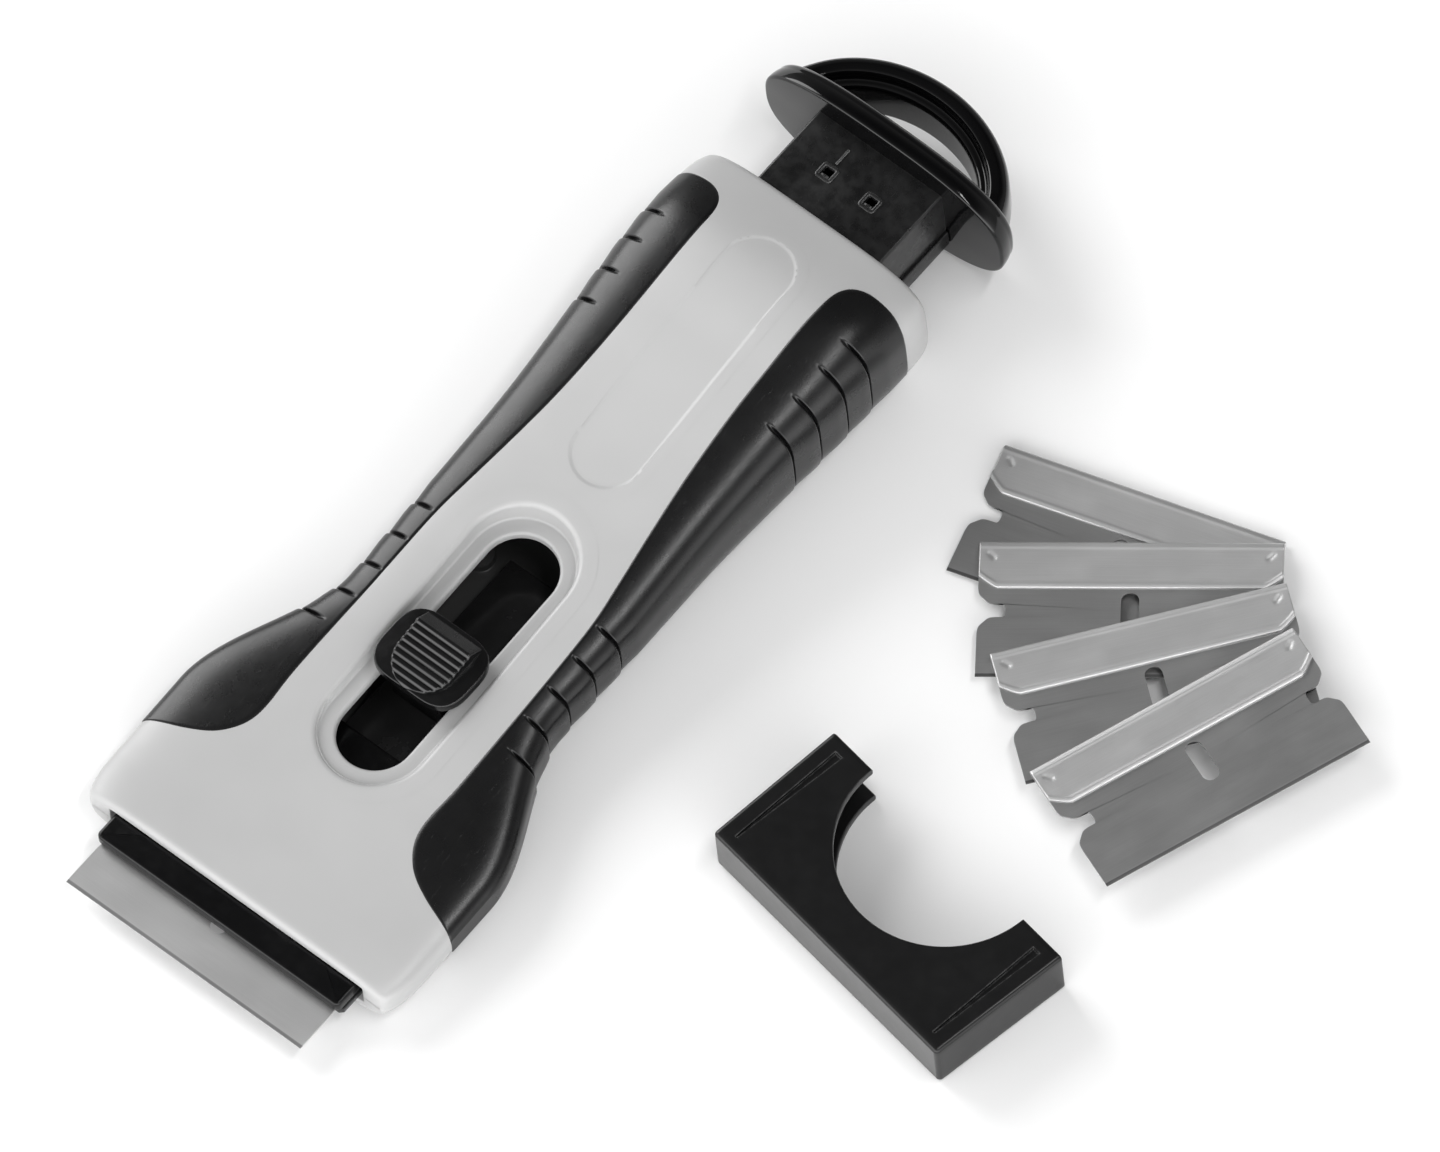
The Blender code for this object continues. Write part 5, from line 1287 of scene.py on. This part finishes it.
def eased(node, name, width, body, look):
    """A copy of a CAD node with its points merged, its flat faces joined and its edges bevelled."""
    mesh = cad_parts[node].data.copy()
    mesh.name = name
    merge(mesh, math.radians(1))
    mesh.shade_smooth()
    made = piece(name, mesh, body, look, [node])
    step = made.modifiers.new("edges", "BEVEL")
    step.width = width * MM
    step.segments = 3
    step.limit_method = "ANGLE"
    step.angle_limit = math.radians(30)
    step.harden_normals = True
    return made


def add_node(tree, kind, inputs=None, **settings):
    """A node with its settings, whose inputs are set from values or linked from sockets."""
    made = tree.nodes.new(kind)
    for name, value in settings.items():
        setattr(made, name, value)
    for name, value in (inputs or {}).items():
        socket = made.inputs[name]
        if isinstance(value, bpy.types.NodeSocket):
            tree.links.new(value, socket)
        else:
            socket.default_value = value
    return made


def maths(tree, operation, *values, clamp=False):
    """The result of one operation on numbers or sockets."""
    inputs = dict(enumerate(values))
    return add_node(tree, "ShaderNodeMath", inputs, operation=operation, use_clamp=clamp).outputs[0]


def noise(tree, vector, scale, detail=3.0, roughness=0.5):
    inputs = {"Vector": vector, "Scale": scale, "Detail": detail, "Roughness": roughness}
    return add_node(tree, "ShaderNodeTexNoise", inputs).outputs["Fac"]


def stretch(tree, value, low, high, to_low, to_high):
    """A value moved from one range to another with a smooth step."""
    inputs = {"Value": value, "From Min": low, "From Max": high, "To Min": to_low, "To Max": to_high}
    return add_node(tree, "ShaderNodeMapRange", inputs, interpolation_type="SMOOTHSTEP").outputs["Result"]


def new_group(name, inputs, outputs):
    """An empty shader node group with named float sockets; a Vector socket is named so."""
    group = bpy.data.node_groups.new(name, "ShaderNodeTree")
    for label, value in inputs.items():
        kind = "NodeSocketVector" if label == "Vector" else "NodeSocketFloat"
        socket = group.interface.new_socket(label, in_out="INPUT", socket_type=kind)
        if kind == "NodeSocketFloat":
            socket.default_value = value
    for label in outputs:
        group.interface.new_socket(label, in_out="OUTPUT", socket_type="NodeSocketFloat")
    return group, group.nodes.new("NodeGroupInput").outputs, group.nodes.new("NodeGroupOutput").inputs


def edge_wear_and_glint_group():
    """Edges as a mask: how far a rounded normal turns from the real one, broken up by noise."""
    inputs = {"Vector": None, "Radius": 0.0003, "Breakup": 900.0}
    group, given, result = new_group("edge_wear_and_glint", inputs, ["Edge"])
    rounded = add_node(group, "ShaderNodeBevel", {"Radius": given["Radius"]}, samples=4).outputs[0]
    real = add_node(group, "ShaderNodeNewGeometry").outputs["Normal"]
    dot = add_node(group, "ShaderNodeVectorMath", {0: rounded, 1: real}, operation="DOT_PRODUCT")
    turned_away = maths(group, "SUBTRACT", 1.0, dot.outputs["Value"])
    edge = stretch(group, turned_away, 0.01, 0.14, 0.0, 1.0)
    patches = stretch(group, noise(group, given["Vector"], given["Breakup"]), 0.35, 0.65, 0.25, 1.0)
    group.links.new(maths(group, "MULTIPLY", edge, patches), result["Edge"])
    return group


def grain_group():
    """Moulded skin: a fine height, a wide tone and a roughness shift, all from noise."""
    inputs = {"Vector": None, "Fine": 3200.0, "Wide": 60.0}
    group, given, result = new_group("moulded_grain", inputs, ["Height", "Tone", "Gloss"])
    fine = noise(group, given["Vector"], given["Fine"], 4.0, 0.6)
    wide = noise(group, given["Vector"], given["Wide"], 3.0, 0.55)
    patches = noise(group, given["Vector"], maths(group, "MULTIPLY", given["Wide"], 5.0), 3.0, 0.6)
    group.links.new(fine, result["Height"])
    group.links.new(stretch(group, wide, 0.3, 0.7, -1.0, 1.0), result["Tone"])
    group.links.new(stretch(group, patches, 0.3, 0.7, -1.0, 1.0), result["Gloss"])
    return group


def mapped(group, vector, scale, rotation=(0.0, 0.0, 0.0)):
    """A vector turned and stretched."""
    inputs = {"Vector": vector, "Rotation": rotation, "Scale": scale}
    return add_node(group, "ShaderNodeMapping", inputs).outputs[0]


def handling_group():
    """Marks of use: soft smudges and fine scattered scratches, as two masks."""
    inputs = {"Vector": None, "Smudge Size": 120.0}
    group, given, result = new_group("handling", inputs, ["Smudge", "Scratch"])
    cloud = noise(group, given["Vector"], given["Smudge Size"], 4.0, 0.65)
    group.links.new(stretch(group, cloud, 0.48, 0.7, 0.0, 1.0), result["Smudge"])
    line = noise(group, mapped(group, given["Vector"], (9000, 260, 2000), (0.0, 0.0, 0.5)), 1.0, 2.0)
    group.links.new(stretch(group, line, 0.66, 0.74, 0.0, 1.0), result["Scratch"])
    return group


def brushed_group():
    """Rolled steel: streaks that run one way over a map, in two sizes, and slow stains."""
    group, given, result = new_group("rolled_steel", {"Vector": None}, ["Streak", "Stain"])
    place = given["Vector"]
    scales = ((3.0, 160.0, 1.0), (6.0, 620.0, 1.0))
    streak = maths(group, "ADD", *[noise(group, mapped(group, place, scale), 1.0) for scale in scales])
    group.links.new(stretch(group, streak, 0.7, 1.3, -1.0, 1.0), result["Streak"])
    group.links.new(stretch(group, noise(group, place, 3.5, 4.0, 0.6), 0.35, 0.7, -1.0, 1.0), result["Stain"])
    return group


def place_group(tree, group, inputs):
    return add_node(tree, "ShaderNodeGroup", inputs, node_tree=group).outputs


def blend_colours(tree, share, *colours):
    """Two colours mixed by a share; each is a colour or a socket."""
    first, second = [c if isinstance(c, bpy.types.NodeSocket) else (*c, 1) for c in colours]
    inputs = {"Factor": share, 6: first, 7: second}
    return add_node(tree, "ShaderNodeMix", inputs, data_type="RGBA").outputs[2]


def new_material(name):
    made = bpy.data.materials.new(name)
    made.use_nodes = True
    return made, made.node_tree, made.node_tree.nodes["Principled BSDF"]


def finish(tree, shader, colour, roughness, height, depth):
    """Links a material's colour, roughness and bump to its shader."""
    inputs = {"Height": height, "Strength": 1.0, "Distance": depth * MM}
    tree.links.new(colour, shader.inputs["Base Color"])
    tree.links.new(roughness, shader.inputs["Roughness"])
    tree.links.new(add_node(tree, "ShaderNodeBump", inputs).outputs[0], shader.inputs["Normal"])


def moulded(name, groups, dark, light, worn_and_glint, roughness, spread, wear_and_glint, fine, wide, depth, specular):
    """A moulded plastic: two close tones, edges lighter for wear and painted highlight, smudges, a fine
    grain, painted shade inside.
    """
    made, tree, shader = new_material(name)
    place = add_node(tree, "ShaderNodeTexCoord").outputs["Object"]
    grain = place_group(tree, groups["grain"], {"Vector": place, "Fine": fine, "Wide": wide})
    edge = place_group(tree, groups["edge"], {"Vector": place, "Radius": PLASTIC_WEAR_AND_GLINT_RADIUS})["Edge"]
    marks = place_group(tree, groups["handling"], {"Vector": place})
    body = blend_colours(tree, maths(tree, "MULTIPLY_ADD", grain["Tone"], 0.5, 0.5), dark, light)
    # Edges lightened: wear, and on the frame and the guard also a painted highlight.
    colour = blend_colours(tree, maths(tree, "MULTIPLY", edge, wear_and_glint), body, worn_and_glint)
    # Inner sides are painted near-black: painted shade standing in for the shadowed inside of the closed
    # body.
    shaded_inner_side = add_node(tree, "ShaderNodeNewGeometry").outputs["Backfacing"]
    gloss = maths(tree, "MULTIPLY_ADD", grain["Gloss"], spread, roughness)
    smudged = maths(tree, "MULTIPLY_ADD", marks["Smudge"], spread * 1.5, gloss)
    height = maths(tree, "MULTIPLY_ADD", marks["Scratch"], -0.35, grain["Height"])
    finish(tree, shader, blend_colours(tree, shaded_inner_side, colour, PAINTED_INSIDE_SHADE), smudged, height, depth)
    shader.inputs["Specular IOR Level"].default_value = specular
    return made


def rolled(name, groups, dark, light, ground_band_and_shade, roughness, spread, from_map, depth):
    """Rolled steel: streaks along its length, slow stains, painted highlights on its edges and, on a blade,
    the ground band, painted darker as its facet's shade.
    """
    made, tree, shader = new_material(name)
    own_place = add_node(tree, "ShaderNodeTexCoord").outputs["Object"]
    place = add_node(tree, "ShaderNodeUVMap", uv_map="plan").outputs[0] if from_map else own_place
    steel = place_group(tree, groups["rolled"], {"Vector": place})
    edge = place_group(tree, groups["edge"], {"Vector": own_place, "Radius": STEEL_GLINT_RADIUS})["Edge"]
    tone = maths(tree, "MULTIPLY_ADD", steel["Stain"], 0.06, 0.5)
    streaked = maths(tree, "MULTIPLY_ADD", steel["Streak"], 0.2, tone, clamp=True)
    colour = blend_colours(tree, streaked, dark, light)
    # The ground band is real; its darker colour is painted shade of its tilted facet.
    if ground_band_and_shade:
        across = add_node(tree, "ShaderNodeSeparateXYZ", {0: place}).outputs["Y"]
        start = 1 - (GRIND + 0.05) / BLADE_WIDTH
        colour = blend_colours(tree, stretch(tree, across, start, start + 0.01, 0.0, 1.0), colour, ground_band_and_shade)
    # Edges painted bright: a painted highlight.
    colour = blend_colours(tree, maths(tree, "MULTIPLY", edge, 0.2), colour, PAINTED_EDGE_GLINT)
    shine = maths(tree, "MULTIPLY_ADD", steel["Stain"], spread, roughness)
    finish(tree, shader, colour, shine, steel["Streak"], depth)
    shader.inputs["Metallic"].default_value = 1.0
    return made


def build_looks():
    """Every finish of the scraper, from one set of shared groups."""
    groups = {
        "grain": grain_group(),
        "edge": edge_wear_and_glint_group(),
        "handling": handling_group(),
        "rolled": brushed_group(),
    }
    looks = {name: moulded(name, groups, *row) for name, row in PLASTICS.items()}
    looks.update({name: rolled(name, groups, *row) for name, row in STEELS.items()})
    return looks


def build_camera():
    """A long lens at the picture's own angle, rolled as the picture is."""
    data = bpy.data.cameras.new("camera")
    data.lens = LENS
    data.sensor_width = SENSOR
    data.clip_end = 20
    camera = bpy.data.objects.new("camera", data)
    bpy.context.scene.collection.objects.link(camera)
    azimuth = math.radians(CAMERA_AZIMUTH)
    elevation = math.radians(CAMERA_ELEVATION)
    level = math.cos(elevation)
    back = Vector((math.sin(azimuth) * level, -math.cos(azimuth) * level, math.sin(elevation)))
    camera.location = (Vector(CAMERA_TARGET) + back * CAMERA_DISTANCE) * MM
    turn = (-back).to_track_quat("-Z", "Y").to_matrix()
    camera.rotation_euler = (turn @ Matrix.Rotation(math.radians(CAMERA_ROLL), 3, "Z")).to_euler()
    bpy.context.scene.camera = camera


def area_light(name, place, size, watts):
    data = bpy.data.lights.new(name, "AREA")
    data.shape = "ELLIPSE"
    data.size, data.size_y = size
    data.energy = watts
    light = bpy.data.objects.new(name, data)
    light.location = place
    light.rotation_euler = (Vector(LIGHT_TARGET) - Vector(place)).to_track_quat("-Z", "Y").to_euler()
    bpy.context.scene.collection.objects.link(light)


def build_studio():
    """A white floor, a world that is bright low down and dimmer overhead, and two soft lights."""
    floor_look, tree, shader = new_material("floor_white")
    place = add_node(tree, "ShaderNodeTexCoord").outputs["Object"]
    share = stretch(tree, noise(tree, place, 3.0, 2.0), 0.3, 0.7, 0.0, 1.0)
    tree.links.new(blend_colours(tree, share, *FLOOR_TONES), shader.inputs["Base Color"])
    shader.inputs["Roughness"].default_value = 0.9
    shader.inputs["Specular IOR Level"].default_value = 0.1
    floor_mesh = bpy.data.meshes.new("floor")
    corners = [(FLOOR_REACH * a, FLOOR_REACH * b, FLOOR_HEIGHT) for a, b in CORNERS]
    floor_mesh.from_pydata(corners, [], [(0, 1, 2, 3)])
    floor_mesh.materials.append(floor_look)
    floor = bpy.data.objects.new("floor", floor_mesh)
    bpy.context.scene.collection.objects.link(floor)

    world = bpy.data.worlds.new("studio")
    bpy.context.scene.world = world
    world.use_nodes = True
    sky = world.node_tree
    direction = add_node(sky, "ShaderNodeTexCoord").outputs["Generated"]
    parts = add_node(sky, "ShaderNodeSeparateXYZ", {0: direction}).outputs
    by_height = stretch(sky, parts["Z"], *WORLD_HEIGHT_RANGE, WORLD_LOW, WORLD_HIGH)
    by_side = stretch(sky, parts["Y"], *WORLD_DEPTH_RANGE, WORLD_FRONT_SHARE, WORLD_BACK_SHARE)
    by_left = stretch(sky, parts["X"], *WORLD_SIDE_RANGE, WORLD_LEFT_SHARE, 1.0)
    strength = maths(sky, "MULTIPLY", maths(sky, "MULTIPLY", by_height, by_side), by_left)
    sky.nodes["Background"].inputs["Color"].default_value = (1, 1, 1, 1)
    sky.links.new(strength, sky.nodes["Background"].inputs["Strength"])
    for name, place, size, watts in LIGHTS:
        area_light(name, place, size, watts)


def main():
    bpy.context.scene.view_settings.view_transform = "Standard"
    build_camera()
    build_studio()
    looks = build_looks()
    build_upper_shell(looks["shell_grey"])
    build_lower_shell(looks["shell_grey"])
    for side in (1, -1):
        build_grip(side, looks["grip_rubber"])
    build_cap(looks["cap_gloss"])
    build_button(looks["button_black"])
    build_guard(looks["guard_black"])
    build_blades(looks)
    build_window_frames(looks["frame_painted_glint"])
    build_lid(looks["store_black"])
    build_clamp(looks["clamp_black"])
    eased("drawer_tray", "store_tray", 0.2, "store", looks["store_black"])
    eased("blade_carriage", "slide_carriage", 0.12, "carriage", looks["carriage_black"])
    for name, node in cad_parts.items():
        if name.startswith("housing_screw"):
            node.data.materials.clear()
            node.data.materials.append(looks["screw_steel"])


main()
